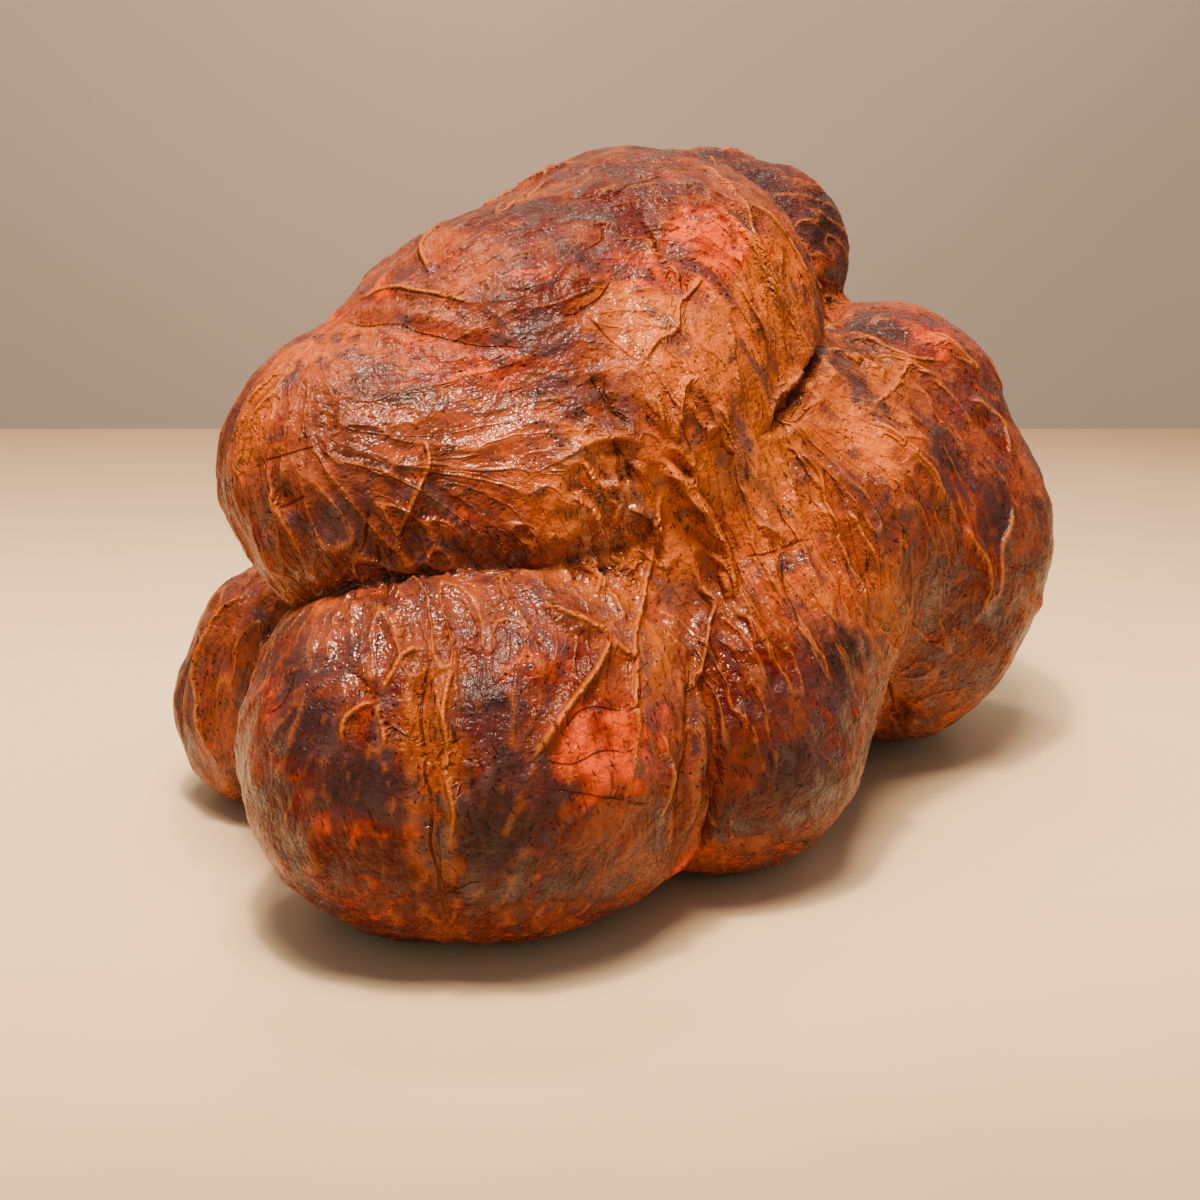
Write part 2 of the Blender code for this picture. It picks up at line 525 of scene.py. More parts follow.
@dataclass(frozen=True)
class Tightening:
    """How the blown-out casing is drawn tight over the filling."""

    coarse_cells: int = 32
    fine_cells: int = 128
    quick_cells: int = 96
    slack_stages: tuple[float, ...] = (40, 30, 22, 16, 11, 7, 4, 2, 1, 0, 0, 0, 0, 0, 0, 0)
    rounds_per_stage: int = 3
    fine_stages: tuple[float, ...] = (1, 0.5, 0, 0, 0, 0, 0, 0)
    spread_share: float = 0.5
    front: Point = (0, -0.87, 0.5)
    front_pull: float = 0.9
    backmost: float = -0.5
    rounding_rounds: int = 10
    rounding_share: float = 0.5
    hollow_start: float = 0.03
    hollow_full: float = 0.15

    def spread(self, grid: CubeGrid, points: Array, form: FilledForm, slack: float) -> Array:
        """Slides each point along the skin towards its neighbours' middle, closer at the front.

        Args:
            grid: The grid that the points belong to.
            points: Where they are, in mm.
            form: The form whose skin they stay on.
            slack: Extra width of its folds.

        Returns:
            Where they go.
        """
        normal = form.normals(points, slack)
        facing = np.clip(normal @ np.array(self.front), self.backmost, 1)
        turned = (facing - self.backmost) / (1 - self.backmost)
        move = grid.way_to_middle(points, 1 + self.front_pull * turned)
        move -= dot(move, normal)[:, None] * normal
        return form.settled(points + self.spread_share * move, slack)

    def tighten(self, form: FilledForm, cells: int) -> tuple[CubeGrid, Array]:
        """Blows the coarse grid out, draws the folds tight and refines it.

        Args:
            form: The form to cover.
            cells: Squares along each side of the fine grid.

        Returns:
            The fine grid and its points on the skin, in mm.
        """
        coarse = CubeGrid(self.coarse_cells)
        points = form.cast(coarse.directions, self.slack_stages[0])
        for slack in self.slack_stages:
            for _ in range(self.rounds_per_stage):
                points = self.spread(coarse, points, form, slack)
        grid = CubeGrid(cells)
        points = form.settled(grid.refined_from(coarse, points))
        for slack in self.fine_stages:
            points = self.spread(grid, points, form, slack)
        return grid, self.rounded(grid, points, form)

    def rounded(self, grid: CubeGrid, points: Array, form: FilledForm) -> Array:
        """Lifts each point at the bottom of a fold towards the middle of its neighbours.

        Args:
            grid: The grid whose points they are.
            points: The points, in mm.
            form: The filled casing.

        Returns:
            The points, lifted.
        """
        for _ in range(self.rounding_rounds):
            move = grid.way_to_middle(points)
            depth = dot(move, form.normals(points))
            share = (depth - self.hollow_start) / (self.hollow_full - self.hollow_start)
            points = points + self.rounding_share * np.clip(share, 0, 1)[:, None] * move
        return points


# ---- Wrinkles, laps, cracks and pleats ----


@dataclass(frozen=True)
class Route:
    """A smooth line over the skin through a few points, read about every millimetre."""

    samples: Array
    tangents: Array
    sides: Array
    normals: Array
    travelled: Array

    @classmethod
    def through(
        cls, knots: Sequence[Point], form: FilledForm, crease: tuple[str, str] | None = None
    ) -> "Route":
        """Runs a Catmull-Rom curve through the knots and lays it on the skin.

        Args:
            knots: The points to pass, in mm, which need only be near the skin.
            form: The form whose skin the line lies on.
            crease: Two parts of the form, if the line lies in the crease between them.

        Returns:
            The route.
        """
        given = np.array(knots, float)
        ends = (2 * given[:1] - given[1:2], given, 2 * given[-1:] - given[-2:-1])
        padded = np.concatenate(ends)
        span = np.linalg.norm(np.diff(given, axis=0), axis=1).sum()
        at = np.linspace(0, len(given) - 1, max(int(span), 6) + 1)
        low = np.minimum(at.astype(int), len(given) - 2)
        t = (at - low)[:, None]
        a, b, c, d = (padded[low + i] for i in range(4))
        curve = 0.5 * (2 * b + (c - a) * t + (2 * a - 5 * b + 4 * c - d) * t**2)
        curve += 0.5 * (3 * b - a - 3 * c + d) * t**3
        if crease is None:
            curve = form.settled(curve, steps=3)
            normals = form.normals(curve)
        else:
            curve, normals = form.in_crease(curve, crease)
        tangents = unit(np.gradient(curve, axis=0))
        normals = unit(normals - dot(normals, tangents)[:, None] * tangents)
        steps = np.linalg.norm(np.diff(curve, axis=0), axis=1)
        travelled = np.concatenate([[0], np.cumsum(steps)])
        return cls(curve, tangents, np.cross(tangents, normals), normals, travelled)

    def place(self, points: Array, reach: float) -> tuple[Array, Array, Array, Array]:
        """Finds the points near the route and where they lie on it.

        Args:
            points: The skin's points, in mm.
            reach: How far from the route to look.

        Returns:
            Which points are near, how far along each is, how far across, positive on the side that
            is tangent times normal, and the sample of the route that it is nearest to.
        """
        low, high = self.samples.min(axis=0) - reach, self.samples.max(axis=0) + reach
        near = np.flatnonzero(((points > low) & (points < high)).all(axis=1))
        away = points[near, None] - self.samples
        best = (away**2).sum(axis=2).argmin(axis=1)
        offset = away[np.arange(len(near)), best]
        close = np.linalg.norm(offset, axis=1) < reach
        near, best, offset = near[close], best[close], offset[close]
        across = dot(offset, self.sides[best])
        return near, self.travelled[best] + dot(offset, self.tangents[best]), across, best

    def taper(self, along: Array, start: float, end: float) -> Array:
        """Rises from 0 over a share of the length at the start, and falls to 0 over one at the end."""
        share = along / self.travelled[-1]
        return ease(share / start) * ease((1 - share) / end)


class FoldKind(Enum):
    """The shapes that a line in the casing takes in section."""

    RIDGE = "a gathered ridge, a little hollow on both sides"
    GROOVE = "a sharp groove between two soft shoulders"
    LAP = "one edge lapped over the next, steep on one side"


@dataclass(frozen=True)
class Fold:
    """One line in the casing, raised or pressed along a route."""

    kind: FoldKind
    width: float
    height: float
    knots: tuple[Point, ...]
    start_taper: float = 0.15
    end_taper: float = 0.35
    along_wave: float = 7
    across_wave: float = 9
    liveliness: float = 0.35
    slimmest: float = 0.55
    boldness: float = 1.6

    def profile(self, across: Array) -> Array:
        """The section, for a height of 1.

        A ridge is a narrow bell less a quarter of a wide one. A groove is exp(-a / w) with a
        rounded bottom and a low shoulder on each side. A lap rises on one side and drops steeply on
        the other, into a trough.

        Args:
            across: Distance from the line, in mm.

        Returns:
            Height of the section there.
        """
        w = self.width
        if self.kind is FoldKind.RIDGE:
            peak = 1.1 * np.exp(-np.abs(across / (0.85 * w)) ** 1.6)
            return peak - 0.25 * np.exp(-((across / (2.4 * w)) ** 2))
        if self.kind is FoldKind.GROOVE:
            cut = np.exp(0.3 - np.sqrt(across**2 + (0.3 * w) ** 2) / w)
            return 0.3 * np.exp(-(((np.abs(across) - 2.2 * w) / (1.1 * w)) ** 2)) - cut
        rise = np.exp(-np.abs(across / (1.1 * w)) ** 1.6) * (across < 0)
        drop = np.exp(-((across / (0.6 * w)) ** 2)) * (across >= 0)
        return rise + drop - 0.5 * np.exp(-(((across - 1.1 * w) / (0.5 * w)) ** 2))

    def relief(self, points: Array, form: FilledForm) -> tuple[Array, Array, Array, Array]:
        """Where the fold lies, how high it stands and where its line runs.

        It is slimmer and lower towards its ends, and its height wavers along it by a noise whose
        seed comes from its first knot.

        Args:
            points: The skin's points, in mm.
            form: The form that the route lies on.

        Returns:
            The points that it moves, by how much, how far each is from the line, in mm, and how
            marked the line is there, from 0 to 1.
        """
        route = Route.through(self.knots, form)
        near, along, across, _ = route.place(points, 6 * self.width + 2)
        taper = route.taper(along, self.start_taper, self.end_taper)
        pace = (along / self.along_wave, across / self.across_wave, np.zeros_like(along))
        seed = int(abs(self.knots[0][0]) * 7 + self.knots[0][2])
        lively = 1 + self.liveliness * noise(np.stack(pace, axis=1), seed)
        slim = self.slimmest + (1 - self.slimmest) * taper
        height = self.height * taper * lively * self.profile(across / slim)
        return near, height, across, np.minimum(self.boldness * taper * lively, 1)


@dataclass
class Lines:
    """The lines of the folds, kept at the skin's points so that the material can draw them sharp.

    Attributes:
        across: How far each point is from the nearest line, in mm, with a side's sign.
        ridge: How marked a raised line is there, from 0 to 1.
        crack: How marked a sunken line is there, from 0 to 1.
    """

    across: Array
    ridge: Array
    crack: Array
    reach: float = 3.0
    cut_off: float = 1.2

    @classmethod
    def none(cls, count: int) -> "Lines":
        """No line at any of that many points."""
        return cls(np.full(count, cls.reach), np.zeros(count), np.zeros(count))

    def add(self, fold: Fold, near: Array, across: Array, strength: Array) -> None:
        """Notes a fold's line at the points that are nearer to it than to any other.

        Args:
            fold: The fold.
            near: The points near it.
            across: How far each is from its line, in mm.
            strength: How marked the line is at each.
        """
        nearer = np.abs(across) < np.abs(self.across[near])
        near, across = near[nearer], across[nearer]
        marked = strength[nearer] * ease((self.reach - np.abs(across)) / self.cut_off)
        sunken = fold.kind is FoldKind.GROOVE
        self.across[near] = across
        self.ridge[near] = 0 if sunken else marked
        self.crack[near] = marked if sunken else 0


@dataclass(frozen=True)
class Pinch:
    """A deep crease between two parts of the form, whose lips are pressed together."""

    between: tuple[str, str] | None
    knots: tuple[Point, ...]
    press: float = 0.7
    reach: float = 7
    depth: float = 2.0
    start_taper: float = 0.12
    end_taper: float = 0.2

    def applied(self, points: Array, form: FilledForm) -> Array:
        """Narrows the crease and sinks its bottom.

        With d the distance from the crease's bottom, a point's way across the crease is cut by the
        press times exp(-(d / reach)^2), and it sinks by the depth times exp(-(3 d / reach)^2).

        Args:
            points: The skin's points, in mm.
            form: The form that the crease belongs to.

        Returns:
            All the points, those near the crease moved.
        """
        route = Route.through(self.knots, form, self.between)
        near, along, across, best = route.place(points, 2.2 * self.reach)
        away = np.linalg.norm(points[near] - route.samples[best], axis=1) / self.reach
        taper = route.taper(along, self.start_taper, self.end_taper)
        closing = self.press * taper * np.exp(-(away**2)) * across
        sinking = self.depth * taper * np.exp(-((3 * away) ** 2))
        moved = points.copy()
        moved[near] -= closing[:, None] * route.sides[best] + sinking[:, None] * route.normals[best]
        return moved


PINCHES: tuple[Pinch, ...] = (
    Pinch(
        ("crown", "front"),
        ((-60, -38, 58), (-50, -49, 65), (-30, -49, 67), (-8, -44, 68)),
        press=0.85,
        reach=9,
        depth=3,
        start_taper=0.04,
    ),
    Pinch(("front", "middle"), ((12, -52, 50), (10, -62, 40), (8, -64, 22), (6, -56, 8)), 0.6, 6, 1.5),
    Pinch(
        ("crown", "tied_end"),
        ((-4, 60, 112), (14, 48, 118), (34, 38, 106), (42, 36, 92)),
        press=0.6,
        reach=8,
        depth=2,
    ),
    # From the cleft down to the saddle, and between the lobes at the far left and right.
    Pinch(None, ((44, 20, 94), (39, 7, 93), (33, -9, 87), (29, -15, 85)), 0.6, 7, 2.2, 0.2, 0.4),
    Pinch(None, ((47, -24, 51), (51, -20, 43), (55, -1, 22), (57, 12, 10)), 0.4, 6, 1.6, 0.3, 0.2),
    Pinch(None, ((-71, -30, 54), (-75, -27, 40), (-74, -24, 24), (-70, -22, 10)), 0.5, 6, 2.0, 0.2, 0.2),
)


@dataclass(frozen=True)
class Fan:
    """Pleats that gather to a point, as where the casing is pinched."""

    centre: Point
    reach: float
    count: int
    height: float
    seed: int
    start: float = 4
    length: float = 30
    towards: Point | None = None
    askew: Point = (0.3, 0.2, 0.9)
    cut_off: float = 2.4
    sunk: float = 0.3

    def relief(self, points: Array, form: FilledForm) -> tuple[Array, Array]:
        """Creased noise read on a cone round the gather.

        The noise is read at (R cos angle, R sin angle, radius / length), with R the count / 2 pi,
        and rises from nought at the gather, then dies away with the reach.

        Args:
            points: The skin's points, in mm.
            form: The form that the gather lies on.

        Returns:
            The points that it moves, and by how much, in mm.
        """
        centre = form.settled(np.array([self.centre], float))
        normal = form.normals(centre)[0]
        u = unit(np.cross(normal, self.askew))
        v = np.cross(normal, u)
        offset = points - centre
        radius = np.linalg.norm(offset, axis=1)
        near = np.flatnonzero(radius < self.cut_off * self.reach)
        offset, radius = offset[near], radius[near]
        angle = np.arctan2(offset @ v, offset @ u)
        ring = self.count / (2 * math.pi)
        cone = (ring * np.cos(angle), ring * np.sin(angle), radius / self.length)
        fade = ease(radius / self.start) * np.exp(-((radius / self.reach) ** 2))
        if self.towards is not None:
            heading = unit(offset) @ unit(np.array(self.towards, float))
            fade *= ease((heading + 0.1) / 0.7)
        return near, self.height * fade * (creased(np.stack(cone, axis=1), self.seed) - self.sunk)


@dataclass(frozen=True)
class Crumple:
    """A patch where the casing is crumpled into short winding ridges."""

    centre: Point
    radii: Point
    wave: float
    height: float
    seed: int
    outermost: float = 1.6
    fineness: float = 0.55
    broad_share: float = 0.7
    swirl: float = 0.45
    sunk: float = 0.3

    def relief(self, points: Array, form: FilledForm) -> tuple[Array, Array]:
        """Creased noise of two wave lengths, pushed about, under a bell round the centre.

        Args:
            points: The skin's points, in mm.
            form: The filled casing; not used.

        Returns:
            The indices of the points that it reaches, and the height at each.
        """
        offset = (points - np.array(self.centre)) / np.array(self.radii)
        span = np.linalg.norm(offset, axis=1)
        near = np.flatnonzero(span < self.outermost)
        place = swirled(points[near], 2 * self.wave, self.swirl * self.wave, self.seed + 7)
        broad = creased(place / self.wave, self.seed)
        fine = creased(place / (self.fineness * self.wave), self.seed + 1)
        fade = ease(self.outermost - span[near])
        mixed = self.broad_share * broad + (1 - self.broad_share) * fine
        return near, self.height * fade * (mixed - self.sunk)


@dataclass(frozen=True)
class Swell:
    """A soft unevenness of the whole skin, as of meat pressed under the casing."""

    wave: float
    height: float
    seed: int

    def relief(self, points: Array, form: FilledForm) -> tuple[Array, Array]:
        """Layered noise over every point."""
        return np.arange(len(points)), self.height * layered(points / self.wave, self.seed, 2)


R, G, L = FoldKind.RIDGE, FoldKind.GROOVE, FoldKind.LAP

# The lines that can be told apart on the folded front, each named for where it runs.
FOLDS: dict[str, Fold] = {
    # Below the saddle, where everything gathers.
    "saddle lap": Fold(R, 2.2, 3.2, ((7, -38, 85), (11, -36, 78), (16, -34, 70), (21, -39, 58)), 0.2, 0.15),
    "saddle lap's shadow": Fold(G, 1.4, 1.1, ((10, -37, 85), (14, -35, 78), (19, -33, 70), (24, -38, 58))),
    "saddle lap's tail": Fold(R, 1.8, 1.7, ((21, -37, 61), (23, -42, 54), (28, -48, 47))),
    "saddle branch": Fold(R, 1.5, 1.5, ((7, -38, 83), (12, -35, 80), (15, -34, 78))),
    "long thread": Fold(R, 1.0, 1.4, ((6, -38, 81), (4, -39, 66), (1, -63, 55), (-3, -78, 30)), 0.1),
    "saddle pinch": Fold(G, 1.8, 1.2, ((-7, -35, 101), (-4, -37, 96), (1, -38, 92))),
    "side pinch": Fold(G, 1.6, 1.2, ((-3, -40, 91), (0, -40, 86), (2, -40, 81))),
    "triangle edge": Fold(R, 1.3, 1.1, ((17, -37, 63), (19, -39, 58))),
    # The crumpled hollow left of it.
    "crumple top": Fold(R, 2.0, 1.8, ((-15, -47, 87), (-8, -43, 90), (-2, -40, 91), (3, -39, 89))),
    "crumple brow": Fold(R, 1.6, 1.8, ((-8, -44, 87), (-6, -44, 83), (-2, -42, 82), (0, -41, 80))),
    "crumple curl": Fold(R, 1.5, 1.8, ((-6, -44, 84), (-4, -43, 80), (-2, -42, 78), (-4, -42, 73))),
    "crumple cheek": Fold(R, 1.6, 1.7, ((-10, -47, 82), (-7, -45, 78), (-5, -43, 72))),
    "crumple hook": Fold(R, 1.5, 1.7, ((0, -41, 77), (3, -39, 76), (5, -38, 72), (2, -39, 68))),
    "crumple leg": Fold(R, 1.6, 1.7, ((-7, -44, 70), (-3, -49, 63), (1, -55, 59))),
    "crumple spur": Fold(R, 1.3, 1.4, ((-4, -41, 69), (0, -41, 65), (2, -39, 67))),
    "crumple sill": Fold(R, 1.6, 1.7, ((-14, -47, 69), (-7, -45, 65), (-5, -52, 64))),
    # The tent-shaped fold on the middle front.
    "tent left": Fold(R, 1.8, 2.1, ((-17, -60, 65), (-10, -61, 63), (-3, -61, 60)), 0.3, 0.1),
    "tent right": Fold(R, 1.5, 1.7, ((-3, -61, 60), (-1, -62, 58), (1, -62, 56)), 0.1, 0.2),
    "tent post": Fold(R, 1.5, 2.1, ((-3, -61, 60), (-8, -72, 55), (-15, -80, 48), (-17, -83, 43)), 0.1),
    # The notch between the two lower lobes.
    "notch brow": Fold(R, 1.9, 2.1, ((12, -39, 62), (16, -40, 58), (15, -44, 55), (13, -54, 47)), 0.2),
    "notch": Fold(G, 1.6, 1.8, ((12, -51, 51), (11, -61, 42), (10, -66, 33), (9, -64, 21)), 0.2, 0.1),
    "notch lip": Fold(R, 1.5, 1.5, ((5, -67, 47), (7, -69, 36), (6, -71, 28)), 0.3),
    # The pleats that fan out over the right of the crown towards the saddle.
    "fan flick": Fold(R, 1.6, 1.5, ((21, -28, 78), (24, -29, 71), (28, -28, 67), (31, -27, 66))),
    "fan long": Fold(R, 1.5, 1.7, ((11, -28, 101), (16, -31, 90), (20, -29, 80), (24, -29, 70))),
    "fan short": Fold(R, 1.3, 1.3, ((17, -28, 93), (20, -28, 84), (22, -27, 79))),
    "fan nick": Fold(G, 1.4, 0.4, ((9, -35, 92), (11, -35, 89), (12, -35, 85))),
    "fan gather": Fold(R, 1.4, 1.5, ((8, -37, 88), (13, -34, 81), (15, -34, 78))),
    "fan left": Fold(R, 1.4, 1.4, ((5, -34, 98), (6, -36, 94), (7, -37, 89))),
    "fan middle": Fold(R, 1.4, 1.4, ((12, -29, 99), (10, -33, 96), (8, -37, 88))),
    # The cleft between the crown and the right lobe, and what runs down from it.
    "cleft": Fold(
        G, 1.3, 1.8, ((39, 7, 93), (35, -3, 90), (33, -9, 87), (29, -15, 85), (25, -22, 83)), 0.1
    ),
    "cleft fork": Fold(G, 1.4, 0.6, ((36, -6, 86), (33, -11, 84), (31, -12, 86))),
    "side lap": Fold(R, 2.0, 2.1, ((29, -16, 82), (35, -16, 75), (39, -21, 66), (47, -28, 47)), 0.15, 0.2),
    "side lap's foot": Fold(R, 2.0, 2.0, ((46, -26, 52), (51, -21, 41), (55, -2, 24), (56, 12, 6)), 0.2),
    "side tuck": Fold(R, 1.7, 1.8, ((42, -17, 68), (45, -18, 63), (48, -19, 56), (49, -21, 51))),
    "right notch": Fold(G, 2.0, 1.5, ((47, -24, 51), (51, -20, 43), (55, -1, 22), (57, 12, 10)), 0.2, 0.2),
    "star": Fold(G, 1.4, 0.5, ((23, -33, 65), (29, -29, 65), (36, -24, 65)), 0.2),
    "star leg": Fold(G, 1.4, 0.4, ((29, -30, 65), (30, -35, 59), (32, -40, 52)), 0.1),
    # The right lobe.
    "right lap": Fold(R, 1.8, 2.2, ((48, -1, 82), (56, -3, 74), (63, -2, 64), (67, 1, 56))),
    "right lap's tail": Fold(R, 1.8, 1.8, ((67, 1, 59), (72, 5, 48), (72, 4, 37)), 0.2),
    "right strand": Fold(R, 1.5, 1.1, ((39, 9, 92), (52, 24, 86), (64, 23, 80), (70, 22, 74))),
    "right strand above": Fold(R, 1.5, 1.1, ((44, 34, 88), (57, 26, 86), (67, 29, 83))),
    "right rim": Fold(R, 2.0, 1.3, ((63, 35, 88), (68, 32, 85), (74, 33, 78))),
    "right sheen": Fold(R, 2.2, 1.3, ((70, 25, 77), (77, 28, 71), (79, 21, 64))),
    # The crown.
    "crown crease": Fold(
        G, 1.4, 1.5, ((-54, -20, 106), (-41, -29, 108), (-30, -34, 107), (-15, -34, 105)), 0.2
    ),
    "crown crease above": Fold(R, 1.8, 1.1, ((-52, -14, 110), (-38, -22, 111), (-26, -27, 110)), 0.3),
    "crown hoop": Fold(R, 1.5, 1.1, ((17, 2, 123), (26, -1, 115), (31, -2, 104), (35, 0, 95))),
    "crown hoop inside": Fold(R, 1.4, 1.0, ((21, 0, 120), (27, -3, 111), (32, -3, 100))),
    "crown hoop low": Fold(R, 1.4, 1.0, ((20, -9, 111), (25, -10, 103), (28, -11, 95))),
    "crown hoop outside": Fold(R, 1.6, 1.1, ((24, 8, 122), (32, 7, 113), (37, 9, 101))),
    "crown crack": Fold(G, 1.4, 0.4, ((2, -5, 122), (5, -9, 119), (6, -14, 115))),
    "crown crack left": Fold(
        G, 1.4, 0.5, ((-3, -20, 114), (-5, -24, 112), (-9, -28, 111), (-13, -29, 111))
    ),
    "crown crack low": Fold(G, 1.4, 0.4, ((-7, -28, 110), (0, -31, 104), (5, -32, 100))),
    "crown crack top": Fold(G, 1.4, 0.4, ((-5, -8, 121), (-5, -12, 120), (-8, -16, 118))),
    "crown end strand": Fold(R, 1.1, 1.5, ((-63, -38, 99), (-67, -40, 93), (-70, -42, 86), (-71, -42, 79))),
    "crown end strand two": Fold(R, 1.0, 1.3, ((-61, -33, 101), (-67, -36, 94), (-71, -39, 86))),
    "crown end cut": Fold(G, 1.4, 0.5, ((-55, -49, 92), (-60, -48, 90), (-68, -44, 86))),
    "crown end cut low": Fold(G, 1.4, 0.4, ((-57, -52, 84), (-62, -50, 81), (-66, -48, 79))),
    "lip lap": Fold(R, 1.7, 1.8, ((-36, -47, 93), (-36, -50, 88), (-40, -53, 80), (-42, -53, 75))),
    "lip cut": Fold(G, 1.4, 0.6, ((-46, -53, 82), (-48, -53, 73))),
    "lip ridge": Fold(R, 1.6, 1.3, ((-64, -48, 84), (-61, -51, 77), (-58, -51, 71))),
    # The heel at the far left, and the front lobe.
    "heel ridge": Fold(
        R, 2.0, 2.7, ((-74, -6, 46), (-82, -9, 38), (-84, -12, 27), (-83, -15, 16)), 0.15, 0.2
    ),
    "heel groove": Fold(G, 1.6, 1.0, ((-82, -1, 36), (-87, -4, 26), (-86, -6, 14))),
    "front crack": Fold(G, 1.4, 0.7, ((-59, -65, 55), (-61, -68, 51), (-65, -66, 47))),
    "front flap": Fold(R, 1.4, 1.4, ((-44, -77, 55), (-49, -77, 52), (-50, -79, 47)), 0.1),
    "front flap low": Fold(R, 1.3, 1.2, ((-44, -77, 55), (-42, -80, 51), (-42, -82, 47)), 0.1),
    "front branch": Fold(G, 1.4, 0.6, ((-50, -69, 59), (-46, -74, 57), (-42, -79, 52), (-36, -82, 48))),
    "front arm": Fold(R, 1.6, 1.2, ((-43, -76, 56), (-41, -73, 59), (-39, -70, 61), (-35, -69, 62))),
    "band": Fold(
        G, 1.4, 1.3, ((-34, -69, 62), (-36, -77, 55), (-35, -84, 42), (-34, -85, 30), (-32, -78, 11))
    ),
    "band edge": Fold(R, 1.8, 1.1, ((-31, -72, 60), (-32, -80, 51), (-31, -85, 40), (-31, -86, 28))),
    "band branch": Fold(G, 1.4, 0.5, ((-34, -84, 44), (-33, -82, 48), (-29, -81, 50))),
    "band foot": Fold(G, 1.4, 0.4, ((-32, -83, 20), (-28, -84, 23), (-25, -85, 24))),
    "wet edge": Fold(G, 1.4, 0.5, ((-43, -61, 65), (-43, -53, 66), (-41, -50, 68))),
    "patch crack": Fold(G, 1.4, 0.4, ((-14, -81, 46), (-9, -80, 44), (-5, -77, 45), (0, -74, 43))),
    "patch crack above": Fold(G, 1.4, 0.3, ((-11, -78, 50), (-8, -75, 52), (-4, -73, 52), (0, -70, 50))),
    "patch crack below": Fold(G, 1.4, 0.4, ((-15, -84, 41), (-8, -81, 39), (-1, -78, 36), (5, -72, 33))),
}

FANS: tuple[Fan, ...] = (
    Fan((7, -38, 85), 20, 18, 0.7, 21, start=6, towards=(0.2, -0.2, 0.9)),
    Fan((27, -20, 83), 20, 16, 0.7, 23, start=7, towards=(0.5, -0.3, -0.9)),
    Fan((9, -64, 18), 16, 14, 0.4, 25, start=6),
    Fan((-32, -76, 9), 16, 14, 0.4, 26, start=6),
)

CRUMPLES: tuple[Crumple, ...] = (
    Crumple((-4, -43, 77), (11, 12, 14), 6.5, 1.9, 31),
    Crumple((2, -44, 62), (10, 14, 9), 7.0, 1.2, 32),
    Crumple((-18, -56, 66), (14, 8, 8), 5.5, 0.7, 33),
    Crumple((-40, -60, 64), (16, 10, 8), 4.5, 0.6, 34),
    Crumple((13, -43, 56), (8, 8, 8), 6.0, 0.9, 35),
    Crumple((38, -26, 60), (10, 10, 12), 6.5, 0.5, 36),
)

SWELLS: tuple[Swell, ...] = (Swell(19, 1.0, 41), Swell(9, 0.5, 42), Swell(4.5, 0.22, 43))


@dataclass(frozen=True)
class Lay:
    """Which way the casing's grain runs round a place."""

    centre: Point
    reach: float
    heading: Point


LAYS: tuple[Lay, ...] = (
    Lay((-30, -10, 116), 34, (0.85, 0.5, 0.25)),  # along the top of the crown
    Lay((-64, -30, 92), 20, (-0.3, -0.5, -1.0)),  # down its left end
    Lay((-30, -46, 92), 20, (0.9, 0.1, 0.2)),  # along its front
    Lay((-36, -52, 74), 14, (0.1, -0.3, -1.0)),  # down to the deep crease
    Lay((26, -4, 112), 20, (0.5, -0.5, -1.0)),  # round its right end
    Lay((12, -30, 92), 16, (0.3, -0.2, -1.0)),  # down to the saddle
    Lay((-4, -43, 76), 14, (0.2, -0.1, -1.0)),
    Lay((24, -28, 70), 16, (0.5, -0.3, -0.8)),
    Lay((50, 6, 84), 18, (0.8, 0.1, -0.5)),  # from the cleft over the right lobe
    Lay((68, 4, 56), 22, (0.5, 0.0, -1.0)),
    Lay((36, -34, 48), 18, (0.5, -0.2, -0.9)),
    Lay((14, -62, 28), 18, (0.2, 0.1, -1.0)),
    Lay((-6, -70, 52), 18, (-0.3, -0.4, -1.0)),
    Lay((-34, -78, 40), 22, (0.05, -0.2, -1.0)),  # down the lower front lobe
    Lay((-38, -60, 64), 12, (0.2, -0.9, -0.3)),
    Lay((-66, -50, 40), 18, (-0.2, 0.3, -1.0)),
    Lay((-82, -4, 26), 18, (-0.1, -0.2, -1.0)),
    Lay((28, 66, 100), 24, (0.8, 0.3, -0.8)),  # round the tied end
    Lay((0, 40, 110), 34, (0.7, 0.6, 0.1)),
    Lay((10, 70, 40), 40, (0.3, 0.1, -1.0)),  # down the back
    Lay((-50, 30, 60), 34, (-0.2, 0.5, -0.9)),
)


@dataclass(frozen=True)
class Grain:
    """Streaks along the lay of the casing, combed out of noise. Lengths are in mm."""

    drift_wave: float = 24
    drift: float = 0.2
    pace: float = 0.45
    seed: int = 91

    def headings(self, points: Array, normals: Array) -> Array:
        """The lay at each point: the headings of the places near it, laid on the skin.

        Args:
            points: The skin's points, in mm.
            normals: The way out of the skin at each.

        Returns:
            Unit headings, n by 3.
        """
        total = np.zeros_like(points)
        for lay in LAYS:
            away = np.linalg.norm(points - np.array(lay.centre), axis=1) / lay.reach
            total += np.exp(-(away**2))[:, None] * unit(np.array(lay.heading))
        drift = [noise(points / self.drift_wave, self.seed + i) for i in range(3)]
        total += self.drift * np.stack(drift, axis=1)
        return unit(total - dot(total, normals)[:, None] * normals)

    def combed(self, points: Array, headings: Array, wave: float, reach: float, seed: int) -> Array:
        """Noise averaged over places along the lay, so that it is drawn out with it.

        Args:
            points: The skin's points, in mm.
            headings: The lay at each.
            wave: Wave length across the lay, in mm.
            reach: How far along the lay to average on each side, in mm.
            seed: Picks the field.

        Returns:
            Drawn-out noise with a mean of 0 and a spread of 1.
        """
        total = np.zeros(len(points))
        for step in np.arange(-reach, reach + 0.1, self.pace * wave):
            fade = math.cos(0.5 * math.pi * step / (reach + wave))
            total += fade * noise((points + step * headings) / wave, seed)
        return (total - total.mean()) / total.std()


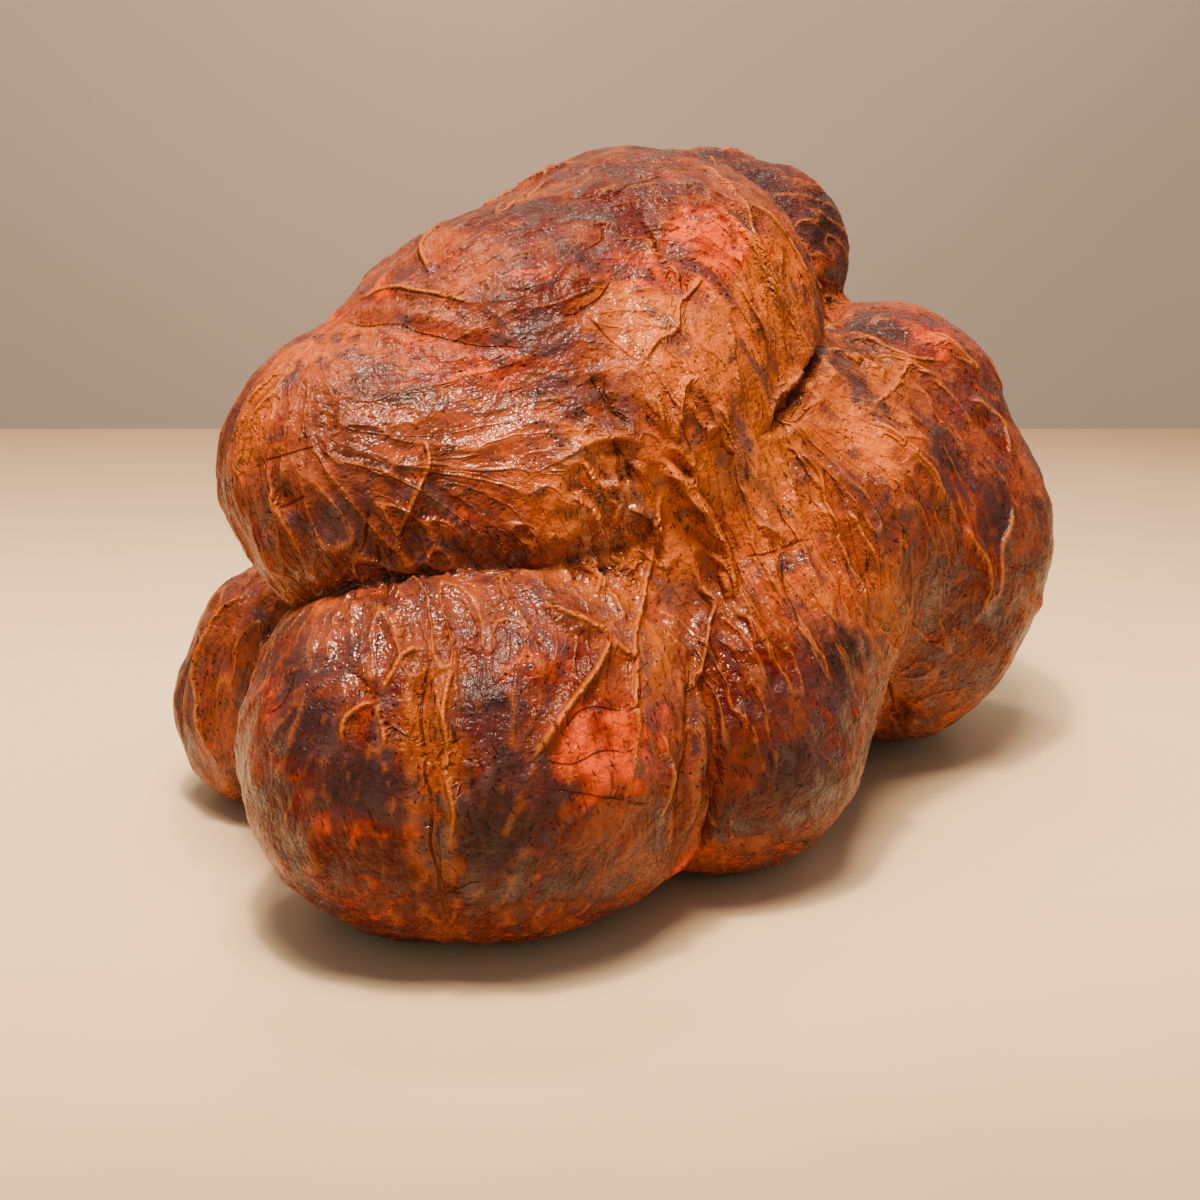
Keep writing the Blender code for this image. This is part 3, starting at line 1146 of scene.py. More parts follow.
@dataclass(frozen=True)
class Pleating:
    """Pleats that run with the lay of the casing, high where it is gathered, low where it is taut."""

    wave: float = 5.0
    reach: float = 15
    fine_wave: float = 3.0
    fine_reach: float = 9
    calming: float = 0.45
    broad_rounding: float = 0.15
    fine_rounding: float = 0.25
    fine_share: float = 0.35
    sunk: float = 0.5
    everywhere: float = 0.25
    gathers: tuple[tuple[Point, float, float], ...] = (
        # (middle, reach, height), all in mm
        ((14, -32, 82), 24, 0.9),
        ((32, -28, 66), 24, 0.9),
        ((16, -46, 50), 18, 0.7),
        ((-34, -52, 74), 14, 0.5),
        ((-58, -46, 72), 16, 0.6),
        ((-34, -60, 65), 18, 0.9),
        ((-30, -50, 86), 16, 0.4),
        ((-68, -30, 50), 18, 0.8),
        ((-80, -8, 36), 20, 0.7),
        ((-68, -34, 88), 18, 0.5),
        ((28, -2, 108), 20, 0.6),
        ((60, 4, 72), 22, 0.6),
        ((54, -8, 34), 18, 0.6),
        ((34, 50, 98), 18, 0.6),
        ((-40, -6, 112), 30, 0.2),
        ((20, 70, 60), 34, 0.4),
    )
    seed: int = 44

    def gathered(self, base: Array) -> Array:
        """How high pleats can stand at each point, in mm.

        Args:
            base: The skin's points, in mm.

        Returns:
            One height for each.
        """
        height = np.full(len(base), self.everywhere)
        for middle, reach, rise in self.gathers:
            away = np.linalg.norm(base - np.array(middle), axis=1) / reach
            height += rise * np.exp(-(away**2))
        return height

    def strands(self, base: Array, headings: Array, grain: Grain) -> tuple[Array, Array]:
        """Broad and fine combed noise, whose nought lines are the pleats' crests.

        Args:
            base: The skin's points, in mm.
            headings: The lay at each.
            grain: What combs the noise.

        Returns:
            The broad noise and the fine one.
        """
        broad = grain.combed(base, headings, self.wave, self.reach, self.seed)
        fine = grain.combed(base, headings, self.fine_wave, self.fine_reach, self.seed + 1)
        return self.calming * broad, self.calming * fine

    def relief(self, gathered: Array, broad: Array, fine: Array) -> Array:
        """How high the pleats stand at each point, in mm."""
        crests = ridged(broad, self.broad_rounding)
        return gathered * (crests + self.fine_share * ridged(fine, self.fine_rounding) - self.sunk)


@dataclass(frozen=True)
class Wanderers:
    """Small folds that wander over the sides of the casing that no named fold reaches."""

    count: int = 90
    steps: int = 6
    stride: float = 5
    turning: float = 0.35
    lean: float = 0.5
    widths: tuple[float, float] = (1.0, 2.2)
    heights: tuple[float, float] = (0.4, 1.2)
    shortest: int = 3
    lowest: float = 5
    hidden_over: float = 25
    slant: float = 0.25
    seed: int = 51

    def folds(self, points: Array, normals: Array, form: FilledForm) -> list[Fold]:
        """Walks that many routes over the skin, all together.

        Each starts at a random point away from the folded front, heads down the lobe or round it,
        and turns a little at every stride.

        Args:
            points: The skin's points, in mm.
            normals: Its unit normals.
            form: The form that the routes stay on.

        Returns:
            One fold for each route.
        """
        rng = np.random.default_rng(self.seed)
        behind = points[:, 1] + self.slant * points[:, 2] - self.lowest
        hidden = ease(behind / self.hidden_over) * (points[:, 2] > self.lowest)
        start = rng.choice(len(points), self.count, replace=False, p=hidden / hidden.sum())
        place, normal = points[start], normals[start]
        lean = rng.normal(0, self.lean, (self.count, 3)) + (0.0, 0.0, -1.0)
        heading = unit(lean - dot(lean, normal)[:, None] * normal)
        track = [place]
        for _ in range(self.steps):
            place = form.settled(place + self.stride * heading)
            normal = form.normals(place)
            side = np.cross(normal, heading)
            heading = heading + rng.normal(0, self.turning, (self.count, 1)) * side
            heading = unit(heading - dot(heading, normal)[:, None] * normal)
            track.append(place)
        kinds = rng.choice([R, G, L, R], self.count)
        widths = rng.uniform(*self.widths, self.count)
        heights = rng.uniform(*self.heights, self.count)
        lengths = rng.integers(self.shortest, self.steps + 2, self.count)
        routes = np.stack(track, axis=1)
        return [
            Fold(kind, width, height, tuple(map(tuple, route[:length])))
            for kind, width, height, route, length in zip(kinds, widths, heights, routes, lengths)
        ]


# ---- Stains and wet places ----


class Stain(Enum):
    """What a blotch in the casing is, by the name of its pattern."""

    DARK = "dark"  # clotted, purple-grey to brown
    GLOW = "glow"  # paprika fat shining through, orange-red
    OCHRE = "ochre"  # yellow-brown fat, where the casing is thin; partly painted light in the crumple
    RED = "red"  # lean meat close under the casing, deep red-brown
    PALE = "pale"  # casing lifted off the meat, tan and orange; partly painted light on faces the lamps leave dim
    WET = "wet"  # oil that has come through


@dataclass(frozen=True)
class Blotch:
    """One stain with a ragged edge."""

    stain: Stain
    centre: Point
    radii: Point
    strength: float = 1.0
    outermost: float = 1.6
    softness: float = 1.4

    def cover(self, ragged: Array) -> Array:
        """How much of it lies at each point: full inside, falling to nought past its radius."""
        span = np.linalg.norm((ragged - np.array(self.centre)) / np.array(self.radii), axis=1)
        return self.strength * ease((self.outermost - span) / self.softness)


# The stains that can be told apart: for each its middle, its radii, in mm, and its strength.
BLOTCHES: dict[Stain, tuple[tuple[float, ...], ...]] = {
    # The large red tones of the lower lobes and of the crown's top.
    Stain.RED: (
        (-36, -70, 32, 34, 26, 26, 0.9), (-32, -78, 52, 18, 12, 10, 1), (-48, -78, 28, 16, 14, 16, 1),
        (-56, -70, 44, 12, 12, 10, 1), (-62, -60, 44, 10, 12, 14, 0.9), (-12, -68, 56, 10, 12, 8, 0.8),
        (22, -48, 46, 14, 12, 14, 0.9), (-10, 2, 124, 24, 16, 7, 0.9), (54, 26, 90, 14, 14, 5, 0.8),
        (76, 30, 72, 8, 14, 14, 0.6), (-66, -48, 36, 16, 22, 24, 0.7), (22, -52, 30, 22, 18, 18, 0.6),
        (-40, -50, 76, 30, 8, 7, 0.7), (70, 8, 50, 16, 20, 26, 0.6), (28, 66, 104, 22, 18, 18, 0.8),
        (-8, -24, 114, 14, 10, 7, 0.6),
    ),
    # The crumpled field in the middle, the saddle and the outer ends: partly painted light, brightening the
    # front-right faces and the crumple that lies in the crown's shade.
    Stain.PALE: (
        (10, -24, 104, 22, 18, 18, 1), (28, -4, 104, 15, 18, 18, 1), (10, -36, 76, 14, 12, 16, 1),
        (48, -4, 78, 12, 12, 10, 1), (-64, -36, 90, 12, 12, 14, 0.8), (-9, -44, 82, 14, 10, 14, 0.9),
        (26, -26, 74, 18, 16, 18, 1), (-6, -46, 72, 10, 12, 12, 0.8), (-26, -44, 98, 30, 12, 9, 0.5),
        (-58, -30, 104, 18, 14, 10, 0.6), (44, 4, 84, 14, 16, 10, 0.7), (0, -72, 20, 18, 12, 12, 0.5),
        (36, -34, 58, 14, 10, 10, 0.6),
    ),
    # Most of all on the shoulder of the lower front lobe.
    Stain.WET: (
        (-38, -56, 66, 18, 10, 6, 1), (-50, -66, 60, 10, 9, 6, 0.9), (-8, -52, 64, 12, 9, 7, 0.7),
        (-6, -42, 76, 13, 9, 14, 0.7), (14, -44, 56, 10, 9, 8, 0.6), (-28, -46, 92, 24, 7, 9, 0.5),
        (-36, -52, 76, 24, 7, 6, 0.5), (2, -26, 108, 10, 9, 7, 0.5), (26, -26, 78, 13, 11, 13, 0.4),
    ),
    # The glowing patches.
    Stain.GLOW: (
        (-3, -76, 45, 11, 12, 9, 1), (18, -6, 118, 12, 9, 6, 1), (6, -14, 116, 12, 10, 5, 0.6),
        (62, 34, 88, 12, 10, 4, 0.5), (-44, -18, 108, 18, 10, 6, 0.5), (-30, -36, 104, 16, 8, 6, 0.5),
        (-48, -80, 34, 14, 10, 8, 0.4), (-62, -62, 50, 8, 8, 10, 0.6), (-46, -80, 18, 14, 10, 6, 0.3),
        (-66, -56, 44, 8, 8, 8, 0.5), (16, -62, 10, 14, 10, 5, 0.7), (-56, -46, 76, 16, 8, 5, 0.5),
        (70, 4, 58, 6, 8, 12, 0.5), (-26, -48, 76, 14, 8, 5, 0.4),
    ),
    # Where everything gathers; brighter there partly as painted light on the crumple in the crown's shade.
    Stain.OCHRE: (
        (-4, -43, 74, 14, 12, 16, 0.8), (4, -50, 60, 9, 18, 14, 0.8), (28, -18, 82, 16, 14, 12, 1),
        (18, -30, 80, 12, 10, 14, 0.7), (50, -18, 42, 8, 14, 16, 0.8), (50, 14, 86, 10, 14, 6, 0.8),
        (-34, -80, 44, 6, 12, 24, 0.7), (-64, -44, 60, 14, 10, 6, 0.7), (46, 18, 92, 6, 10, 5, 0.7),
    ),
    # Clots.
    Stain.DARK: (
        (-55, -71, 42, 9, 9, 7, 0.8), (-27, -77, 54, 7, 6, 7, 0.6), (0, 8, 126, 16, 8, 5, 0.6),
        (-54, -72, 46, 9, 8, 8, 1), (-46, -80, 42, 9, 7, 8, 1), (-24, -78, 55, 9, 7, 7, 0.9),
        (-20, -80, 48, 8, 6, 6, 0.7), (14, -58, 40, 5, 6, 9, 0.6), (-58, -64, 54, 9, 9, 8, 0.8),
        (-24, -86, 34, 10, 6, 10, 0.9), (-8, -78, 26, 11, 9, 7, 0.7), (-18, -84, 44, 8, 5, 7, 0.7),
        (40, -38, 47, 11, 10, 10, 1), (28, -48, 42, 7, 7, 8, 0.6), (30, -52, 30, 10, 8, 8, 0.8),
        (22, -58, 20, 8, 8, 6, 0.6), (66, 8, 70, 8, 10, 8, 0.8), (74, 12, 56, 7, 10, 10, 0.8),
        (84, 24, 46, 6, 12, 14, 0.8), (48, 28, 91, 12, 13, 7, 1), (41, 60, 108, 10, 12, 12, 1),
        (-62, -60, 56, 9, 10, 9, 0.6), (-16, -4, 120, 16, 5, 4, 0.8), (-10, -16, 117, 7, 5, 4, 0.8),
        (-22, -26, 111, 9, 5, 4, 0.6), (-44, -38, 98, 12, 8, 7, 0.7), (-18, -30, 109, 9, 6, 5, 0.6),
        (-52, -52, 78, 10, 6, 7, 0.6), (26, 64, 108, 20, 18, 14, 1), (40, 60, 98, 8, 10, 12, 0.8),
        (-84, -2, 24, 10, 8, 14, 0.8), (-72, -28, 44, 6, 8, 8, 0.7), (-6, -40, 98, 8, 6, 6, 0.5),
    ),
}


def known_blotches() -> Iterator[Blotch]:
    """Each blotch of the table."""
    for stain, rows in BLOTCHES.items():
        for row in rows:
            yield Blotch(stain, row[:3], row[3:6], row[6])


@dataclass(frozen=True)
class Scatter:
    """Blotches strewn over the hidden sides, so that they look like the front."""

    counts: tuple[tuple[Stain, int], ...] = ((Stain.DARK, 46), (Stain.GLOW, 18), (Stain.OCHRE, 16))
    smallest: float = 4
    largest: float = 13
    faintest: float = 0.4
    hidden_from: float = -10
    hidden_over: float = 25
    seed: int = 61

    def blotches(self, points: Array) -> list[Blotch]:
        """Draws a random place, size and strength for each blotch.

        Args:
            points: The skin's points, in mm.

        Returns:
            The blotches.
        """
        rng = np.random.default_rng(self.seed)
        hidden = ease((points[:, 1] - self.hidden_from) / self.hidden_over)
        made = []
        for stain, count in self.counts:
            for at in rng.choice(len(points), count, p=hidden / hidden.sum()):
                radii = rng.uniform(self.smallest, self.largest, 3)
                strength = rng.uniform(self.faintest, 1)
                made.append(Blotch(stain, tuple(points[at]), tuple(radii), strength))
        return made


# ---- The finish ----


class Wiring:
    """A new material with a Principled shader, and short ways to add what every finish needs."""

    def __init__(self, name: str) -> None:
        """Makes the material, with nothing on its shader yet."""
        self.material = bpy.data.materials.new(name)
        self.material.use_nodes = True
        self.tree = self.material.node_tree

    def add(self, kind: str, inputs: Inputs, output: int | str = 0, **settings: Any) -> Socket:
        """Adds a node with its settings, and sets or links its inputs.

        Args:
            kind: The node's type, less the ShaderNode that all of them begin with.
            inputs: For each input's name or number, a value or the output that feeds it.
            output: The name or number of the output to give back.
            settings: Properties of the node.

        Returns:
            That output.
        """
        node = self.tree.nodes.new(f"ShaderNode{kind}")
        for name, value in settings.items():
            setattr(node, name, value)
        self.feed(node, inputs)
        return node.outputs[output]

    def feed(self, node: bpy.types.Node, inputs: Inputs) -> None:
        """Links each input that is given an output, and sets each that is given a value.

        Args:
            node: The node that has the inputs.
            inputs: A value or another node's output, by input.
        """
        for key, value in inputs.items():
            if isinstance(value, bpy.types.NodeSocket):
                self.tree.links.new(value, node.inputs[key])
            else:
                node.inputs[key].default_value = value

    def finished(self, inputs: Inputs) -> bpy.types.Material:
        """Feeds the shader, and gives back the material."""
        self.feed(self.tree.nodes["Principled BSDF"], inputs)
        return self.material

    def math(self, operation: str, *values: Any) -> Socket:
        """One step of arithmetic."""
        return self.add("Math", dict(enumerate(values)), operation=operation)

    def vector(self, operation: str, inputs: Inputs, output: int | str = 0) -> Socket:
        """One step of arithmetic on vectors."""
        return self.add("VectorMath", inputs, output, operation=operation)

    def total(self, masks: Masks, weights: dict[str, float], start: float = 0.0) -> Any:
        """The start plus each of the named masks times its weight.

        Args:
            masks: The patterns by their names.
            weights: The weight of each that counts.
            start: What they are added to.

        Returns:
            The output that holds the total, or the start if there are no weights.
        """
        result: Any = start
        for name, weight in weights.items():
            result = self.math("MULTIPLY_ADD", masks[name], weight, result)
        return result

    def step(self, value: Any, low: float, high: float, top: Any = 1.0) -> Socket:
        """Goes smoothly from 0 where the value is low to the top where it is high."""
        inputs = {"Value": value, "From Min": low, "From Max": high, "To Max": top}
        return self.add("MapRange", inputs, interpolation_type="SMOOTHSTEP")

    def over(self, cover: Socket, below: Any, above: Any) -> Socket:
        """Lays one colour over another, as far as the cover says."""
        return self.add("Mix", {0: cover, 6: below, 7: above}, 2, data_type="RGBA")


@dataclass(frozen=True)
class CuredCasing:
    """Cured blind-gut casing over paprika meat, washed, stuffed and dried for months.

    To the eye it is a thin, oily parchment: orange-brown fat and red meat show through, with
    purple-grey clots and paler stretched ridges, and fine hatching and pores break up a glossy
    highlight. Light is painted into its colour as well: painted shade and a painted glow of light
    through the fat in the hollows, a painted sheen on the crests, and painted light on the pale
    and ochre patches of the dim front-right faces and the crumple.
    """

    tan: str = "#7a3e29"
    brown: str = "#32150c"
    orange: str = "#b4500c"
    red: str = "#7a160a"
    deep_red: str = "#440803"
    # pale tone of lifted casing, also used as painted light on dim faces
    pale: str = "#c8681e"
    clot: str = "#160c0c"
    clot_grey: str = "#483437"
    glow: str = "#e05200"
    glow_deep: str = "#801800"
    # yellow-brown fat, made brighter partly as painted light on the shaded crumple
    ochre: str = "#aa580c"
    # painted shade and a painted glow of light through the fat, laid in the hollows and creases
    hollow: str = "#843a06"
    # paler stretched casing on the crests and ridge lines, with a painted sheen there
    crest_pale_and_sheen: str = "#c46a22"
    crack: str = "#300e02"
    # near-black pores and nicks; the same tone is also painted shade at the bottom of the deepest creases
    pore: str = "#100402"
    ior: float = 1.25
    roughness: float = 0.27
    wet_roughness: float = 0.12
    coat_roughness: float = 0.065
    fleck_gloss: float = 0.4
    streak_gloss: float = 0.12
    along_turn: Point = (0, -12, 30)
    down_turn: Point = (0, 68, -35)
    stretch: float = 5.0
    grain_wave: float = 0.8
    fleck_wave: float = 2.0
    pore_spacing: float = 1.5

    def material(self) -> bpy.types.Material:
        """Builds the casing's material, which reads what STORED lists and the loose places.

        Returns:
            The material.
        """
        wiring = Wiring("cured_casing")
        masks = self._masks(wiring)
        bump = self._bump(wiring, masks)
        return wiring.finished(
            {
                "Base Color": self._colour(wiring, masks),
                "Roughness": self._roughness(wiring, masks),
                "Normal": bump,
                "Coat Normal": bump,
                "Coat Weight": self._oil(wiring, masks),
                "Coat Roughness": self.coat_roughness,
                "IOR": self.ior,
            }
        )

    def _masks(self, wiring: Wiring) -> Masks:
        """Every pattern that the colour, the gloss and the bump share, each from 0 to 1.

        The grain is drawn out along one of two directions, whichever is nearer to the lay.

        Args:
            wiring: The material so far.

        Returns:
            The patterns by name.
        """
        masks: Masks = {}
        for attribute, channels in STORED.items():
            colour = wiring.add("Attribute", {}, "Color", attribute_name=attribute)
            parts = wiring.add("SeparateColor", {0: colour}).node.outputs
            masks |= {name: parts[i] for i, name in enumerate(channels)}
        objects = wiring.add("TexCoord", {}, "Object")
        plain = wiring.vector("SCALE", {0: objects, "Scale": 1 / MM})
        masks["fleck"] = self._noise(wiring, plain, self.fleck_wave)
        loose = wiring.add("Attribute", {}, "Vector", attribute_name=LOOSE)
        grains = []
        for turn in (self.along_turn, self.down_turn):
            inputs = {"Vector": loose, "Rotation": tuple(math.radians(a) for a in turn)}
            turned = wiring.add("VectorRotate", inputs, rotation_type="EULER_XYZ", invert=True)
            squeezed = wiring.vector("MULTIPLY", {0: turned, 1: (1 / self.stretch, 1.0, 1.0)})
            grains.append(self._noise(wiring, squeezed, self.grain_wave))
        masks["grain"] = wiring.add("Mix", {0: masks["down_lay"], 2: grains[0], 3: grains[1]})
        spots = {"Vector": plain, "Scale": 1 / self.pore_spacing}
        masks["pore"] = wiring.step(wiring.add("TexVoronoi", spots, "Distance"), 0.28, 0.14)
        masks["nick"] = wiring.step(masks["grain"], 0.4, 0.31)
        # name, source, its strength, its raggedness, how far off it begins and is full
        for name, source, strength, ragged, edge, full in (
            ("ridge", "line", "line_ridge", 0.05, 0.11, 0.01),
            ("crack", "line", "line_crack", 0.03, 0.04, 0.01),
            ("strand", "broad_strand", "gathered", 0.04, 0.05, 0.0),
            ("thread", "fine_strand", "gathered", 0.04, 0.04, 0.0),
        ):
            # The flecks push the line about, and it runs where the source passes one half.
            pushed = wiring.math("MULTIPLY_ADD", masks["fleck"], ragged, masks[source])
            away = wiring.math("ABSOLUTE", wiring.math("SUBTRACT", pushed, (1 + ragged) / 2))
            masks[name] = wiring.step(away, edge, full, masks[strength])
        return masks

    def _noise(self, wiring: Wiring, place: Socket, wave: float) -> Socket:
        """Noise at the places, with waves of that many mm."""
        inputs = {"Vector": place, "Scale": 1 / wave, "Detail": 2.0, "Roughness": 0.65}
        return wiring.add("TexNoise", inputs, "Fac")

    def _colour(self, wiring: Wiring, masks: Masks) -> Socket:
        """Lays the casing's colours over one another.

        Each wash covers what is below it by a mask: the sum of a few patterns, each with its own
        weight, stretched from its low to its high value.

        Args:
            wiring: The material so far.
            masks: The patterns.

        Returns:
            The finished colour.
        """
        colour: Any = linear(self.tan)
        # colour, low, high, strength, patterns and their weights
        for tone, low, high, strength, patterns in (
            (self.orange, 1.0, 1.7, 0.85, {"broad": 0.8, "streak": 0.9, "pale": 0.4, "fleck": 0.5}),
            (
                self.brown, -0.15, 0.5, 0.85,
                {"broad": -0.6, "streak": -0.9, "fleck": 0.9, "mottle": 0.6},
            ),
            (self.red, 0.5, 1.0, 0.7, {"mottle": 1.0, "broad": -0.5, "red": 0.5, "grain": 0.4}),
            (self.deep_red, 0.6, 1.4, 0.9, {"red": 1.0, "mottle": 0.7, "streak": 0.7}),
            # partly painted light: pale blotches that also brighten the front-right faces and the crumple
            # in the crown's shade
            (self.pale, -0.2, 0.6, 0.85, {"pale": 1.2, "streak": -0.7, "grain": -0.8, "mottle": 0.3}),
            # partly painted light: ochre that also brightens the crumple in the crown's shade
            (self.ochre, 0.5, 1.4, 0.85, {"ochre": 1.0, "mottle": 0.6, "fleck": 0.4}),
            (self.glow_deep, 0.4, 1.1, 0.8, {"glow": 1.0, "mottle": 0.5, "streak": 0.2}),
            (self.glow, 0.75, 1.6, 0.9, {"glow": 1.0, "mottle": 0.9, "grain": 0.9, "streak": -0.7}),
            (self.clot_grey, 0.9, 1.9, 0.8, {"dark": 1.0, "mottle": 0.5, "fleck": 0.8, "streak": 0.6}),
            (self.clot, 1.4, 2.4, 0.85, {"dark": 1.0, "mottle": 0.8, "grain": 0.8, "fleck": 0.8}),
            (self.clot_grey, 1.0, 1.6, 0.7, {"mottle": 1.0, "streak": 0.7, "fleck": 0.9, "broad": -0.4}),
            # painted shade and glow: a saturated tone laid where the skin bends inwards
            (self.hollow, 0.25, 1.1, 0.6, {"hollow": 3.0, "grain": 0.2}),
            # painted shade: near black at the bottom of the deepest creases
            (self.pore, 0.55, 0.95, 0.9, {"hollow": 1.0}),
            # partly painted sheen: a paler tone over the crests, where the casing is also stretched paler
            (self.crest_pale_and_sheen, 0.4, 1.3, 0.35, {"crest_pale_and_sheen": 1.0, "grain": 0.3}),
            # partly painted highlight: the same pale tone along the ridge lines and pleats
            (self.crest_pale_and_sheen, 0.0, 1.0, 0.6, {"ridge": 0.8, "strand": 0.5, "thread": 0.25}),
            (self.crack, 0.0, 1.1, 0.65, {"crack": 1.0}),
            (self.pore, 0.0, 1.0, 0.7, {"nick": 1.0}),
            (self.pore, 1.0, 1.6, 0.85, {"pore": 1.0, "mottle": 0.8}),
        ):
            cover = wiring.step(wiring.total(masks, patterns), low, high, strength)
            colour = wiring.over(cover, colour, linear(tone))
        return colour

    def _roughness(self, wiring: Wiring, masks: Masks) -> Socket:
        """Gloss: oily and wet in places, duller on clots, broken up by the flecks and streaks.

        Args:
            wiring: The material's nodes.
            masks: The patterns by their names.

        Returns:
            The output that holds the roughness.
        """
        weights = {
            "fleck": self.fleck_gloss,
            "streak": self.streak_gloss,
            "dark": 0.06,
            "wet": self.wet_roughness - self.roughness,
        }
        middle = self.roughness - (self.fleck_gloss + self.streak_gloss) / 2
        level = wiring.total(masks, weights, middle)
        return wiring.add("Clamp", {"Value": level, "Min": 0.1, "Max": 0.7})

    def _oil(self, wiring: Wiring, masks: Masks) -> Socket:
        """The weight of a film of oil where the casing is wet, broken into patches."""
        return wiring.step(wiring.total(masks, {"wet": 1.0, "mottle": 0.5, "streak": 0.3}), 0.38, 1.05)

    def _bump(self, wiring: Wiring, masks: Masks) -> Socket:
        """The normal, bent by what is finer than the mesh: each pattern's height is in mm.

        Args:
            wiring: The material's nodes.
            masks: The patterns by their names.

        Returns:
            The output that holds the normal.
        """
        heights = {
            "grain": 0.14,
            "fleck": 0.8,
            "nick": -0.08,
            "ridge": 0.7,
            "crack": -0.4,
            "strand": 0.35,
            "thread": 0.25,
        }
        height = wiring.total(masks, heights)
        return wiring.add("Bump", {"Height": height, "Distance": MM, "Strength": 1.0})


# ---- The sausage ----


